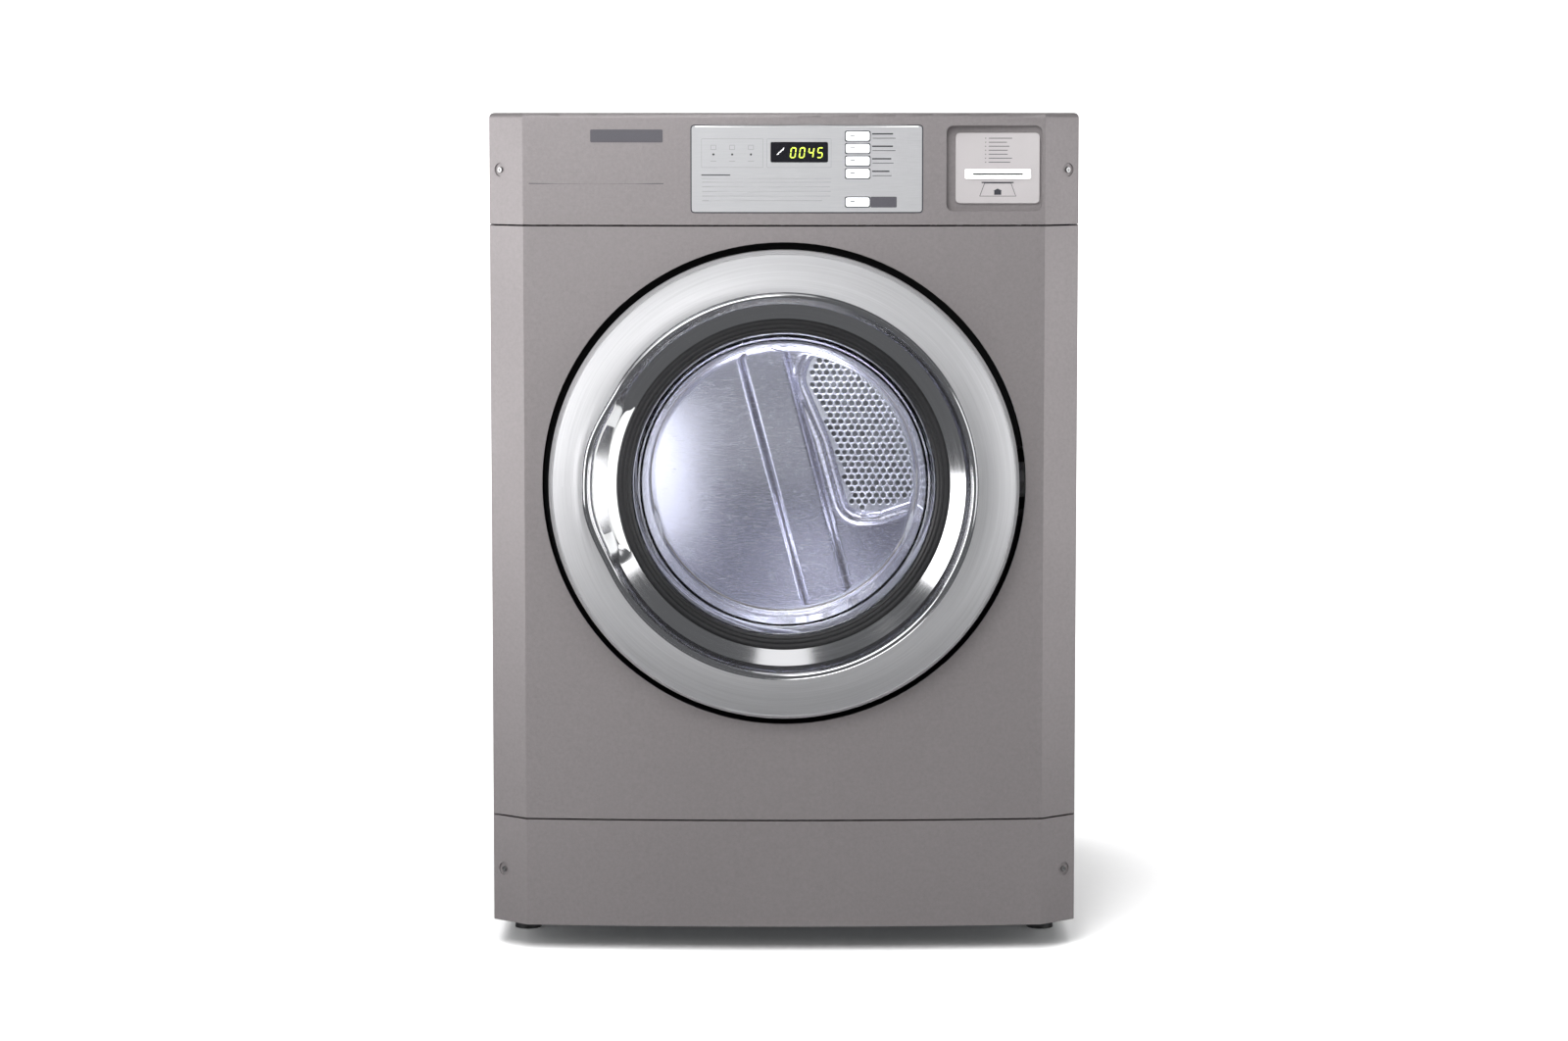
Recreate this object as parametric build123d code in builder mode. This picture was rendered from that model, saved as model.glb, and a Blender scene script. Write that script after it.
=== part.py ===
"""Front-loading commercial tumble dryer, built as an assembly of separate pieces.

Frame: X to the right seen from the front, +Y to the rear, +Z up. The origin is on the
floor, under the middle of the overall box. All sizes are in millimetres.
"""

from build123d import *
from math import asin, cos, degrees, hypot, radians, sin
import os

# ---------------------------------------------------------------- driving dimensions
WIDTH = 686.0
HEIGHT = 983.0
DEPTH = 764.0
HALF_W = WIDTH / 2
Y_DOOR = -DEPTH / 2
Y_DUCT_END = DEPTH / 2
Y_FRONT = -352.0
Y_FACET = -340.0
Y_SIDE = -310.4
PANEL_BACK = -310.0
X_FACET = 302.0
Y_REAR = 352.0
SHEET = 1.2
THICK_SHEET = 1.5
SHELL = 2.5
SEAM = 2.0
Z_PANELS = 32.0
Z_LOW_SEAM = 158.0
Z_HIGH_SEAM = 853.0

# door
DOOR_Z = 553.0
RING_R = 272.5
DISH_R = 281.0
DISH_FLOOR_R = 222.0
LIP_R = 217.0
BEVEL_R = 193.0
GLASS_R = 177.0
BOWL_R = 163.0
HINGE_X = 297.0
HINGE_Y = -322.0
HINGE_ARM_Z = 28.0
HINGE_ARM_H = 14.0
HINGE_PIN_R = 4.0
RUNNING_FIT = 0.05

# drum and its running gear
DRUM_R = 305.0
DRUM_FRONT = -228.0
DRUM_REAR = 292.0
DRUM_SHEET = 1.2
MOUTH_R = 190.0
FRONT_BULKHEAD_Y = -236.0
REAR_BULKHEAD_Y = 298.0
FELT_INNER_R = 290.0
ROLLER_R = 35.0
ROLLER_W = 18.0
ROLLER_GAP = 0.4
ROLLER_ANGLE = 35.0
AXLE_R = 6.0
LIFTER_COUNT = 3

# drive, air path
MOTOR_X = 130.0
MOTOR_Z = 140.0
MOTOR_R = 62.0
PULLEY_R = 12.0
BELT_Y = 100.0
BELT_W = 8.0
BELT_T = 1.8
BELT_GAP = 0.4
IDLER_R = 18.0
DUCT_R = 50.8
DUCT_Z = 100.0
BLOWER_R = 80.0

# controls
BUTTON_W = 27.6
BUTTON_H = 10.4
BUTTON_X = 84.9
BUTTON_ROWS = {
    "high_heat_button": 956.1,
    "medium_heat_button": 941.9,
    "low_heat_button": 927.5,
    "extra_dry_button": 913.1,
    "start_button": 880.3,
}

os.makedirs("parts", exist_ok=True)


# ---------------------------------------------------------------- shared helpers
def write(part, name):
    """Label a finished piece and write it as its own STEP file."""
    part.label = name
    export_step(part, f"parts/{name}.step")


def facing(y, x=0.0, z=0.0):
    """Plane seen from the front: u runs along X, v along Z, extrude goes to the front."""
    return Plane(origin=(x, y, z), x_dir=(1, 0, 0), z_dir=(0, -1, 0))


def turning(z, x=0.0):
    """Plane for profiles of (radius, y) that turn about an axis along Y."""
    return Plane(origin=(x, 0, z), x_dir=(1, 0, 0), z_dir=(0, 0, 1))


def y_axis(x, z):
    """Axis along Y through (x, z)."""
    return Axis((x, 0, z), (0, 1, 0))


def front_outline(inset, back):
    """Plan of the cabinet front: flat sides, slanted facets and a bowed middle."""
    facet_dx = HALF_W - X_FACET
    facet_dy = Y_SIDE - Y_FACET
    slant = hypot(facet_dx, facet_dy)
    bow_tilt = 2 * (Y_FACET - Y_FRONT) / X_FACET
    mitre_x = inset * (facet_dy / slant + bow_tilt) / 2
    side_x = HALF_W - inset
    run = (side_x - X_FACET + inset * facet_dy / slant) / facet_dx
    side_y = Y_FACET + inset * facet_dx / slant + run * facet_dy
    corner = (X_FACET - mitre_x, Y_FACET + inset)
    Polyline((-side_x, back), (-side_x, side_y), (-corner[0], corner[1]))
    ThreePointArc((-corner[0], corner[1]), (0, Y_FRONT + inset), corner)
    Polyline(corner, (side_x, side_y), (side_x, back), (-side_x, back))


def front_block(bottom, top, inset=0.0, back=PANEL_BACK, mode=Mode.ADD):
    """Solid between two heights inside the front outline."""
    with BuildSketch(Plane.XY.offset(bottom)) as plan:
        with BuildLine():
            front_outline(inset, back)
        make_face()
    extrude(plan.sketch, amount=top - bottom, mode=mode)


def rect_prism(x0, x1, z0, z1, y0, y1, radius=0.0, mode=Mode.ADD):
    """Prism along Y with a rounded rectangle for its section."""
    with BuildSketch(facing(y0, (x0 + x1) / 2, (z0 + z1) / 2)) as section:
        if radius > 0:
            RectangleRounded(x1 - x0, z1 - z0, radius)
        else:
            Rectangle(x1 - x0, z1 - z0)
    extrude(section.sketch, amount=-(y1 - y0), mode=mode)


def tube(x, z, radius, y0, y1, mode=Mode.ADD):
    """Round bar or round hole along Y."""
    with BuildSketch(facing(y0, x, z)) as section:
        Circle(radius)
    extrude(section.sketch, amount=-(y1 - y0), mode=mode)


def face_y(x):
    """Y of the bowed front surface at a distance from its middle."""
    return Y_FRONT + (Y_FACET - Y_FRONT) * (x / X_FACET) ** 2


def on_circle(radius, angle):
    """(x, z) of a point on a circle round the drum axis, 0 degrees at the right."""
    return radius * cos(radians(angle)), DOOR_Z + radius * sin(radians(angle))


# ---------------------------------------------------------------- cabinet
FOOT_X = 310.0
FOOT_YS = (-210.0, 268.0)
PAN_HALF_W = 341.6
PAN_FRONT = -305.0
PAN_BACK = 349.0
PAN_FLANGE = 16.0
STUD_R = 5.0

with BuildPart() as base_pan:
    with BuildSketch(Plane.XY.offset(Z_PANELS)):
        with Locations((0, (PAN_FRONT + PAN_BACK) / 2)):
            Rectangle(2 * PAN_HALF_W, PAN_BACK - PAN_FRONT)
    extrude(amount=PAN_FLANGE)
    with BuildSketch(Plane.XY.offset(Z_PANELS + THICK_SHEET)):
        with Locations((0, (PAN_FRONT + PAN_BACK) / 2)):
            Rectangle(2 * (PAN_HALF_W - THICK_SHEET), PAN_BACK - PAN_FRONT - 2 * THICK_SHEET)
    extrude(amount=PAN_FLANGE, mode=Mode.SUBTRACT)
    with Locations(*[(x, y, Z_PANELS + THICK_SHEET) for x in (-FOOT_X, FOOT_X) for y in FOOT_YS]):
        Hole(STUD_R + 0.5, depth=2 * THICK_SHEET)
write(base_pan.part, "base_pan")

PAD_R = 16.0
PAD_H = 12.0
STUD_TOP = 52.0
NUT_ACROSS = 17.0
NUT_H = 8.0

with BuildPart() as leveling_feet:
    for foot_y in FOOT_YS:
        for foot_x in (-FOOT_X, FOOT_X):
            with BuildSketch(Plane.XY):
                with Locations((foot_x, foot_y)):
                    Circle(PAD_R)
            extrude(amount=PAD_H, taper=6)
            with BuildSketch(Plane.XY.offset(PAD_H)):
                with Locations((foot_x, foot_y)):
                    Circle(STUD_R)
            extrude(amount=STUD_TOP - PAD_H)
            with BuildSketch(Plane.XY.offset(Z_PANELS - NUT_H)):
                with Locations((foot_x, foot_y)):
                    RegularPolygon(NUT_ACROSS / 2, 6)
            extrude(amount=NUT_H)
write(leveling_feet.part, "leveling_feet")

SIDE_TOP = 966.0
SIDE_FRONT = -309.5
SIDE_BACK = 350.5
SIDE_FLANGE_FRONT = 6.0
SIDE_FLANGE_BACK = 12.0
HOUSING_BACK = -289.0

for side, name in ((-1, "left_side_panel"), (1, "right_side_panel")):
    with BuildPart() as side_panel:
        with BuildSketch(Plane.XY.offset(Z_PANELS)):
            with BuildLine():
                Polyline(
                    (side * (HALF_W - SIDE_FLANGE_FRONT), SIDE_FRONT),
                    (side * HALF_W, SIDE_FRONT),
                    (side * HALF_W, SIDE_BACK),
                    (side * (HALF_W - SIDE_FLANGE_BACK), SIDE_BACK),
                    (side * (HALF_W - SIDE_FLANGE_BACK), SIDE_BACK - SHEET),
                    (side * (HALF_W - SHEET), SIDE_BACK - SHEET),
                    (side * (HALF_W - SHEET), SIDE_FRONT + SHEET),
                    (side * (HALF_W - SIDE_FLANGE_FRONT), SIDE_FRONT + SHEET),
                    close=True,
                )
            make_face()
        extrude(amount=SIDE_TOP - Z_PANELS)
        rect_prism(
            -WIDTH, WIDTH, Z_HIGH_SEAM, HEIGHT, SIDE_FRONT - 1, HOUSING_BACK + 0.5, mode=Mode.SUBTRACT,
        )
    write(side_panel.part, name)

REAR_HALF_W = 341.5
LOUVRE_X = 150.0
LOUVRE_Z = 200.0
POWER_X = -250.0
POWER_Z = 905.0
POWER_R = 11.1
DUCT_HOLE_R = DUCT_R + 1.5
LOUVRE_DX = 60.0
LOUVRE_PITCH = 14.0
LOUVRE_L = 44.0
LOUVRE_H = 6.0
TOP_LOUVRE_Z = 760.0

with BuildPart() as rear_panel:
    rect_prism(-REAR_HALF_W, REAR_HALF_W, Z_PANELS + THICK_SHEET, SIDE_TOP, Y_REAR - THICK_SHEET, Y_REAR)
    with BuildSketch(facing(Y_REAR, LOUVRE_X, LOUVRE_Z)):
        with GridLocations(LOUVRE_DX, LOUVRE_PITCH, 2, 12):
            SlotOverall(LOUVRE_L, LOUVRE_H)
    extrude(amount=2 * THICK_SHEET, mode=Mode.SUBTRACT)
    with BuildSketch(facing(Y_REAR, -LOUVRE_X - LOUVRE_DX, TOP_LOUVRE_Z)):
        with GridLocations(LOUVRE_DX, LOUVRE_PITCH, 2, 8):
            SlotOverall(LOUVRE_L, LOUVRE_H)
    extrude(amount=2 * THICK_SHEET, mode=Mode.SUBTRACT)
    tube(0, DUCT_Z, DUCT_HOLE_R, Y_REAR - 2 * THICK_SHEET, Y_REAR + 1, mode=Mode.SUBTRACT)
    tube(POWER_X, POWER_Z, POWER_R, Y_REAR - 2 * THICK_SHEET, Y_REAR + 1, mode=Mode.SUBTRACT)
write(rear_panel.part, "rear_panel")

TOP_FRONT = HOUSING_BACK + 0.5
TOP_SKIRT = HEIGHT - SIDE_TOP
TOP_ROUND = 6.0

with BuildPart() as top_cover:
    with BuildSketch(Plane.XY.offset(SIDE_TOP)):
        with Locations((0, (TOP_FRONT + Y_REAR) / 2)):
            Rectangle(WIDTH, Y_REAR - TOP_FRONT)
    extrude(amount=TOP_SKIRT)
    fillet(top_cover.edges().filter_by(Axis.Y).group_by(Axis.Z)[-1], radius=TOP_ROUND)
    with BuildSketch(Plane.XY.offset(SIDE_TOP)):
        with Locations((0, (TOP_FRONT + Y_REAR) / 2)):
            Rectangle(WIDTH - 2 * SHEET, Y_REAR - TOP_FRONT - 2 * SHEET)
    extrude(amount=TOP_SKIRT - SHEET - TOP_ROUND, mode=Mode.SUBTRACT)
    with BuildSketch(Plane.XY.offset(HEIGHT - SHEET - TOP_ROUND)):
        with Locations((0, (TOP_FRONT + Y_REAR) / 2)):
            Rectangle(WIDTH - 2 * TOP_ROUND, Y_REAR - TOP_FRONT - 2 * TOP_ROUND)
    extrude(amount=TOP_ROUND, mode=Mode.SUBTRACT)
write(top_cover.part, "top_cover")

# ---------------------------------------------------------------- front panel with its door dish
PANEL_BOTTOM = Z_LOW_SEAM + SEAM / 2
PANEL_TOP = Z_HIGH_SEAM - SEAM / 2
DISH_FLOOR_Y = PANEL_BACK - SHEET
POCKET_X0 = 256.0
POCKET_X1 = 290.0
POCKET_FRONT = -331.0
POCKET_HALF_H = 41.0
LATCH_X = -239.0
STRIKE_W = 6.0
STRIKE_H = 24.0
SWITCH_ANGLE = 135.0
PLUNGER_R = 4.0

with BuildPart() as front_cavity:
    front_block(PANEL_BOTTOM + SHEET, PANEL_TOP - SHEET, SHEET, PANEL_BACK + 1)
    tube(0, DOOR_Z, DISH_R + SHEET, Y_DOOR, PANEL_BACK + 2, mode=Mode.SUBTRACT)

with BuildPart() as front_panel:
    front_block(PANEL_BOTTOM, PANEL_TOP)
    add(front_cavity.part, mode=Mode.SUBTRACT)
    tube(0, DOOR_Z, DISH_R, Y_DOOR, DISH_FLOOR_Y, mode=Mode.SUBTRACT)
    tube(0, DOOR_Z, DISH_FLOOR_R, Y_DOOR, PANEL_BACK + 1, mode=Mode.SUBTRACT)
    rect_prism(
        POCKET_X0, POCKET_X1, DOOR_Z - POCKET_HALF_H, DOOR_Z + POCKET_HALF_H,
        POCKET_FRONT, PANEL_BACK + 1, mode=Mode.SUBTRACT,
    )
    rect_prism(
        LATCH_X - STRIKE_W, LATCH_X + STRIKE_W, DOOR_Z - STRIKE_H / 2 - 3, DOOR_Z + STRIKE_H / 2 + 3,
        DISH_FLOOR_Y - 1, PANEL_BACK + 1, mode=Mode.SUBTRACT,
    )
    switch_x, switch_z = on_circle(235, SWITCH_ANGLE)
    tube(switch_x, switch_z, PLUNGER_R + 1, DISH_FLOOR_Y - 1, PANEL_BACK + 1, mode=Mode.SUBTRACT)
write(front_panel.part, "front_panel")

# tamper-proof screws sit in round dimples near the ends of the facets
SCREW_Z_HIGH = 917.0
SCREW_Z_LOW = 94.0
SCREW_X = 330.0
SCREW_FACET_Y = Y_FACET + (SCREW_X - X_FACET) * (Y_SIDE - Y_FACET) / (HALF_W - X_FACET)
FACET_SLANT = hypot(HALF_W - X_FACET, Y_SIDE - Y_FACET)
FACET_NX = (Y_SIDE - Y_FACET) / FACET_SLANT
FACET_NY = -(HALF_W - X_FACET) / FACET_SLANT
DIMPLE_R = 8.0
DIMPLE_DEPTH = 1.8
BOSS_R = 11.0
BOSS_DEPTH = 5.0
SCREW_HOLE_R = 2.2


def facet_plane(side, z, depth=0.0):
    """Plane on a facet, looking out of it, sunk by a depth."""
    origin = (side * (SCREW_X - depth * FACET_NX), SCREW_FACET_Y - depth * FACET_NY, z)
    return Plane(origin=origin, x_dir=(0, 0, 1), z_dir=(side * FACET_NX, FACET_NY, 0))


def facet_bosses(z):
    """Pads behind the facets that hold the screws."""
    for side in (-1, 1):
        with BuildSketch(facet_plane(side, z, BOSS_DEPTH)) as boss:
            Circle(BOSS_R)
        extrude(boss.sketch, amount=BOSS_DEPTH - SHEET / 2)


def facet_dimples(z):
    """Round dimples and screw holes in the facets."""
    for side in (-1, 1):
        with BuildSketch(facet_plane(side, z, DIMPLE_DEPTH)) as dimple:
            Circle(DIMPLE_R)
        extrude(dimple.sketch, amount=DIMPLE_DEPTH + 2, mode=Mode.SUBTRACT)
        with BuildSketch(facet_plane(side, z, BOSS_DEPTH + 1)) as screw_hole:
            Circle(SCREW_HOLE_R)
        extrude(screw_hole.sketch, amount=BOSS_DEPTH + 1, mode=Mode.SUBTRACT)


KICK_TOP = Z_LOW_SEAM - SEAM / 2

with BuildPart() as kick_panel:
    front_block(Z_PANELS, KICK_TOP)
    front_block(Z_PANELS + SHEET, KICK_TOP - SHEET, SHEET, PANEL_BACK + 1, mode=Mode.SUBTRACT)
    facet_bosses(SCREW_Z_LOW)
    facet_dimples(SCREW_Z_LOW)
write(kick_panel.part, "kick_panel")

# ---------------------------------------------------------------- control housing and its plates
HOUSING_BOTTOM = Z_HIGH_SEAM + SEAM / 2
OVERLAY_X0 = -107.4
OVERLAY_X1 = 160.0
OVERLAY_Z0 = 868.0
OVERLAY_Z1 = 968.8
OVERLAY_SINK = 1.0
OVERLAY_PROUD = 0.4
CORNER_R = 4.5
WINDOW_X0 = -15.3
WINDOW_X1 = 50.5
WINDOW_Z0 = 926.1
WINDOW_Z1 = 949.2
READER_X0 = 187.4
READER_X1 = 298.3
READER_Z0 = 869.5
READER_Z1 = 968.2
READER_FLOOR_Y = -336.0
PLATE_X0 = 198.5
PLATE_X1 = 295.4
PLATE_Z0 = 878.6
PLATE_Z1 = 959.8
SLOT_X0 = 209.1
SLOT_X1 = 285.3
SLOT_Z0 = 906.9
SLOT_Z1 = 918.0
SLIT_HALF_H = 1.0
SLIT_X0 = 218.5
SLIT_X1 = 276.1
SLIT_Z = 912.2
BUTTON_GAP = 0.6
BOARD_Y = -318.0
CUT_FRONT = -360.0
CUT_BACK = -340.0
LAYER_BACK = -300.0
RECESS_GAP = 0.4
WINDOW_GAP = 0.3
READER_ROUND = 8.0


def button_openings(y0, y1):
    """Rounded openings for the five buttons."""
    for row in BUTTON_ROWS.values():
        rect_prism(
            BUTTON_X - BUTTON_W / 2 - BUTTON_GAP, BUTTON_X + BUTTON_W / 2 + BUTTON_GAP,
            row - BUTTON_H / 2 - BUTTON_GAP, row + BUTTON_H / 2 + BUTTON_GAP,
            y0, y1, radius=3, mode=Mode.SUBTRACT,
        )


def surface_layer(x0, x1, z0, z1, outer, inner, radius):
    """Rounded plate that follows the bowed front between two depths."""
    front_block(z0, z1, outer, back=LAYER_BACK)
    front_block(z0 - 1, z1 + 1, inner, back=LAYER_BACK + 1, mode=Mode.SUBTRACT)
    rect_prism(x0, x1, z0, z1, CUT_FRONT, LAYER_BACK + 2, radius, mode=Mode.INTERSECT)


with BuildPart() as housing_cavity:
    front_block(HOUSING_BOTTOM - 1, HEIGHT - SHELL, SHELL, HOUSING_BACK + 1)
    rect_prism(
        READER_X0 - SHELL, READER_X1 + SHELL, READER_Z0 - SHELL, READER_Z1 + SHELL,
        CUT_FRONT, READER_FLOOR_Y + SHELL, mode=Mode.SUBTRACT,
    )

with BuildPart() as overlay_recess:
    surface_layer(
        OVERLAY_X0 - RECESS_GAP, OVERLAY_X1 + RECESS_GAP, OVERLAY_Z0 - RECESS_GAP, OVERLAY_Z1 + RECESS_GAP,
        -3, OVERLAY_SINK, CORNER_R,
    )

with BuildPart() as control_housing:
    front_block(HOUSING_BOTTOM, HEIGHT, 0, HOUSING_BACK)
    top_edges = control_housing.faces().sort_by(Axis.Z)[-1].edges()
    fillet(top_edges.filter_by(lambda edge: edge.center().Y < HOUSING_BACK - 1), radius=TOP_ROUND)
    add(housing_cavity.part, mode=Mode.SUBTRACT)
    add(overlay_recess.part, mode=Mode.SUBTRACT)
    rect_prism(
        READER_X0, READER_X1, READER_Z0, READER_Z1, CUT_FRONT, READER_FLOOR_Y,
        radius=READER_ROUND, mode=Mode.SUBTRACT,
    )
    rect_prism(
        SLIT_X0 - 2, SLIT_X1 + 2, SLIT_Z - 3, SLIT_Z + 3, CUT_FRONT, READER_FLOOR_Y + 2 * SHELL,
        mode=Mode.SUBTRACT,
    )
    rect_prism(WINDOW_X0, WINDOW_X1, WINDOW_Z0, WINDOW_Z1, CUT_FRONT, CUT_BACK, mode=Mode.SUBTRACT)
    button_openings(CUT_FRONT, CUT_BACK)
    facet_bosses(SCREW_Z_HIGH)
    facet_dimples(SCREW_Z_HIGH)
write(control_housing.part, "control_housing")

with BuildPart() as control_overlay:
    surface_layer(
        OVERLAY_X0, OVERLAY_X1, OVERLAY_Z0, OVERLAY_Z1, -OVERLAY_PROUD, OVERLAY_SINK, CORNER_R,
    )
    rect_prism(
        WINDOW_X0 - WINDOW_GAP, WINDOW_X1 + WINDOW_GAP, WINDOW_Z0 - WINDOW_GAP, WINDOW_Z1 + WINDOW_GAP,
        CUT_FRONT, CUT_BACK,
        radius=2, mode=Mode.SUBTRACT,
    )
    button_openings(CUT_FRONT, CUT_BACK)
write(control_overlay.part, "control_overlay")

with BuildPart() as display_window:
    surface_layer(WINDOW_X0, WINDOW_X1, WINDOW_Z0, WINDOW_Z1, -OVERLAY_PROUD + 0.2, SHELL, 2)
write(display_window.part, "display_window")

PLATE_T = 2.5

with BuildPart() as card_reader_plate:
    rect_prism(
        PLATE_X0, PLATE_X1, PLATE_Z0, PLATE_Z1, READER_FLOOR_Y - PLATE_T, READER_FLOOR_Y, radius=5,
    )
    rect_prism(
        SLOT_X0, SLOT_X1, SLOT_Z0, SLOT_Z1, READER_FLOOR_Y - PLATE_T - 1, READER_FLOOR_Y + 1,
        radius=1.5, mode=Mode.SUBTRACT,
    )
write(card_reader_plate.part, "card_reader_plate")

with BuildPart() as card_slot_bezel:
    rect_prism(
        SLOT_X0, SLOT_X1, SLOT_Z0, SLOT_Z1, READER_FLOOR_Y - PLATE_T - 1.5, READER_FLOOR_Y, radius=1.5,
    )
    rect_prism(
        SLIT_X0, SLIT_X1, SLIT_Z - SLIT_HALF_H, SLIT_Z + SLIT_HALF_H,
        READER_FLOOR_Y - PLATE_T - 2, READER_FLOOR_Y + 1, mode=Mode.SUBTRACT,
    )
write(card_slot_bezel.part, "card_slot_bezel")

READER_DEPTH = 75.0

with BuildPart() as card_reader_module:
    rect_prism(
        PLATE_X0, PLATE_X1, PLATE_Z0 + 8, PLATE_Z1 - 8,
        READER_FLOOR_Y + SHELL, READER_FLOOR_Y + READER_DEPTH,
    )
    rect_prism(
        SLIT_X0 - 1, SLIT_X1 + 1, SLIT_Z - 2, SLIT_Z + 2,
        READER_FLOOR_Y, READER_FLOOR_Y + READER_DEPTH - 10, mode=Mode.SUBTRACT,
    )
write(card_reader_module.part, "card_reader_module")

BOARD_T = 1.6
BOARD_X0 = -100.0
BOARD_X1 = 150.0
BOARD_EDGE = 3.0
DISPLAY_H = 12.0
TACT_HALF = 3.0
TACT_H = 4.0
RELAY = (26.0, 18.0, 22.0)
RELAY_POINTS = ((-70.0, 915.0), (-30.0, 890.0))

with BuildPart() as control_board:
    rect_prism(
        BOARD_X0, BOARD_X1, OVERLAY_Z0 + BOARD_EDGE, OVERLAY_Z1 - BOARD_EDGE, BOARD_Y, BOARD_Y + BOARD_T,
    )
    rect_prism(
        WINDOW_X0 + 3, WINDOW_X1 - 3, WINDOW_Z0 + 2, WINDOW_Z1 - 2, BOARD_Y - DISPLAY_H, BOARD_Y,
    )
    for row in BUTTON_ROWS.values():
        rect_prism(
            BUTTON_X - TACT_HALF, BUTTON_X + TACT_HALF, row - TACT_HALF, row + TACT_HALF,
            BOARD_Y - TACT_H, BOARD_Y,
        )
    with Locations(*[(x, BOARD_Y + BOARD_T + RELAY[1] / 2, z) for x, z in RELAY_POINTS]):
        Box(*RELAY)
write(control_board.part, "control_board")

BUTTON_PROUD = 1.6
BUTTON_TRAVEL = 1.2
BUTTON_STEM = 2.4
BUTTON_ROUND = 2.4
BUTTON_EDGE = 0.8
CAP_DEPTH = 8.0
STEM_GAP = 0.4

for name, row in BUTTON_ROWS.items():
    cap_y = face_y(BUTTON_X) - BUTTON_PROUD
    with BuildPart() as button:
        rect_prism(
            BUTTON_X - BUTTON_W / 2, BUTTON_X + BUTTON_W / 2, row - BUTTON_H / 2, row + BUTTON_H / 2,
            cap_y, cap_y + CAP_DEPTH, radius=BUTTON_ROUND,
        )
        fillet(button.faces().sort_by(Axis.Y)[0].edges(), radius=BUTTON_EDGE)
        tube(BUTTON_X, row, BUTTON_STEM, cap_y + CAP_DEPTH, BOARD_Y - TACT_H - BUTTON_TRAVEL - STEM_GAP)
    write(button.part, name)

# ---------------------------------------------------------------- bulkheads
BULKHEAD_HALF_W = 338.0
BULKHEAD_TOP = 930.0
CUTOUT_HALF_W = 232.0
CUTOUT_TOP = 228.0
FILTER_W = 240.0
FILTER_T = 10.0
FILTER_Y = -277.0
TUNNEL_FRONT = -308.5
ROLLER_TRACK = DRUM_R + ROLLER_GAP + ROLLER_R
ROLLER_DX = ROLLER_TRACK * sin(radians(ROLLER_ANGLE))
ROLLER_Z = DOOR_Z - ROLLER_TRACK * cos(radians(ROLLER_ANGLE))
FRONT_ROLLER_Y = -218.0
REAR_ROLLER_Y = 278.0


def bulkhead_plate(y):
    """Flat plate across the cabinet, cut away below for the air path and the motor."""
    rect_prism(
        -BULKHEAD_HALF_W, BULKHEAD_HALF_W, Z_PANELS + THICK_SHEET, BULKHEAD_TOP, y, y + THICK_SHEET,
    )
    rect_prism(
        -CUTOUT_HALF_W, CUTOUT_HALF_W, 0, CUTOUT_TOP, y - 1, y + THICK_SHEET + 1, mode=Mode.SUBTRACT,
    )


with BuildPart() as front_bulkhead:
    bulkhead_plate(FRONT_BULKHEAD_Y)
    tube(0, DOOR_Z, MOUTH_R, FRONT_BULKHEAD_Y - 1, FRONT_BULKHEAD_Y + THICK_SHEET + 1, mode=Mode.SUBTRACT)
    tube(-ROLLER_DX, ROLLER_Z, AXLE_R, FRONT_BULKHEAD_Y - 1, FRONT_BULKHEAD_Y + 3, mode=Mode.SUBTRACT)
    tube(ROLLER_DX, ROLLER_Z, AXLE_R, FRONT_BULKHEAD_Y - 1, FRONT_BULKHEAD_Y + 3, mode=Mode.SUBTRACT)
write(front_bulkhead.part, "front_bulkhead")

FILTER_GAP = 3.0
SLOT_LOW = 300.0
SLOT_HIGH = DOOR_Z - 100

with BuildPart() as loading_throat:
    tube(0, DOOR_Z, MOUTH_R + THICK_SHEET, TUNNEL_FRONT, FRONT_BULKHEAD_Y)
    tube(0, DOOR_Z, DISH_FLOOR_R + 8, PANEL_BACK, TUNNEL_FRONT)
    tube(0, DOOR_Z, MOUTH_R, PANEL_BACK - 1, FRONT_BULKHEAD_Y + 1, mode=Mode.SUBTRACT)
    rect_prism(
        -FILTER_W / 2 - FILTER_GAP, FILTER_W / 2 + FILTER_GAP, SLOT_LOW, SLOT_HIGH,
        FILTER_Y - FILTER_T / 2 - FILTER_GAP, FILTER_Y + FILTER_T / 2 + FILTER_GAP, mode=Mode.SUBTRACT,
    )
write(loading_throat.part, "loading_throat")

# the warm-air inlet is a fan-shaped field of holes at the upper right of the rear bulkhead
GRILLE_R = 222.0
GRILLE_PITCH = 9.6
GRILLE_HOLE_R = 3.4
GRILLE_T = 1.2
GRILLE_LEFT_TOP = (22.0, 632.0)
GRILLE_LEFT_LOW = (92.0, 448.0)
GRILLE_LOW_SLOPE = 0.22
GRILLE_TOP_Z = 674.0
GRILLE_RIGHT_LOW = (208.0, 473.5)
GRILLE_RIGHT_TOP = (186.0, 674.0)
GRILLE_TOP_LEFT = (62.0, 674.0)
EDGE_MARGIN = 7.0


def grille_face(outset):
    """Fan-shaped outline of the grille, grown by an outset."""
    with BuildLine() as fan:
        Polyline(GRILLE_RIGHT_TOP, GRILLE_TOP_LEFT, GRILLE_LEFT_TOP, GRILLE_LEFT_LOW, GRILLE_RIGHT_LOW)
        ThreePointArc(GRILLE_RIGHT_LOW, (GRILLE_R, DOOR_Z), GRILLE_RIGHT_TOP)
    make_face(fan.edges())
    fillet(vertices(), radius=10)
    if outset != 0:
        offset(amount=outset, mode=Mode.REPLACE)


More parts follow.
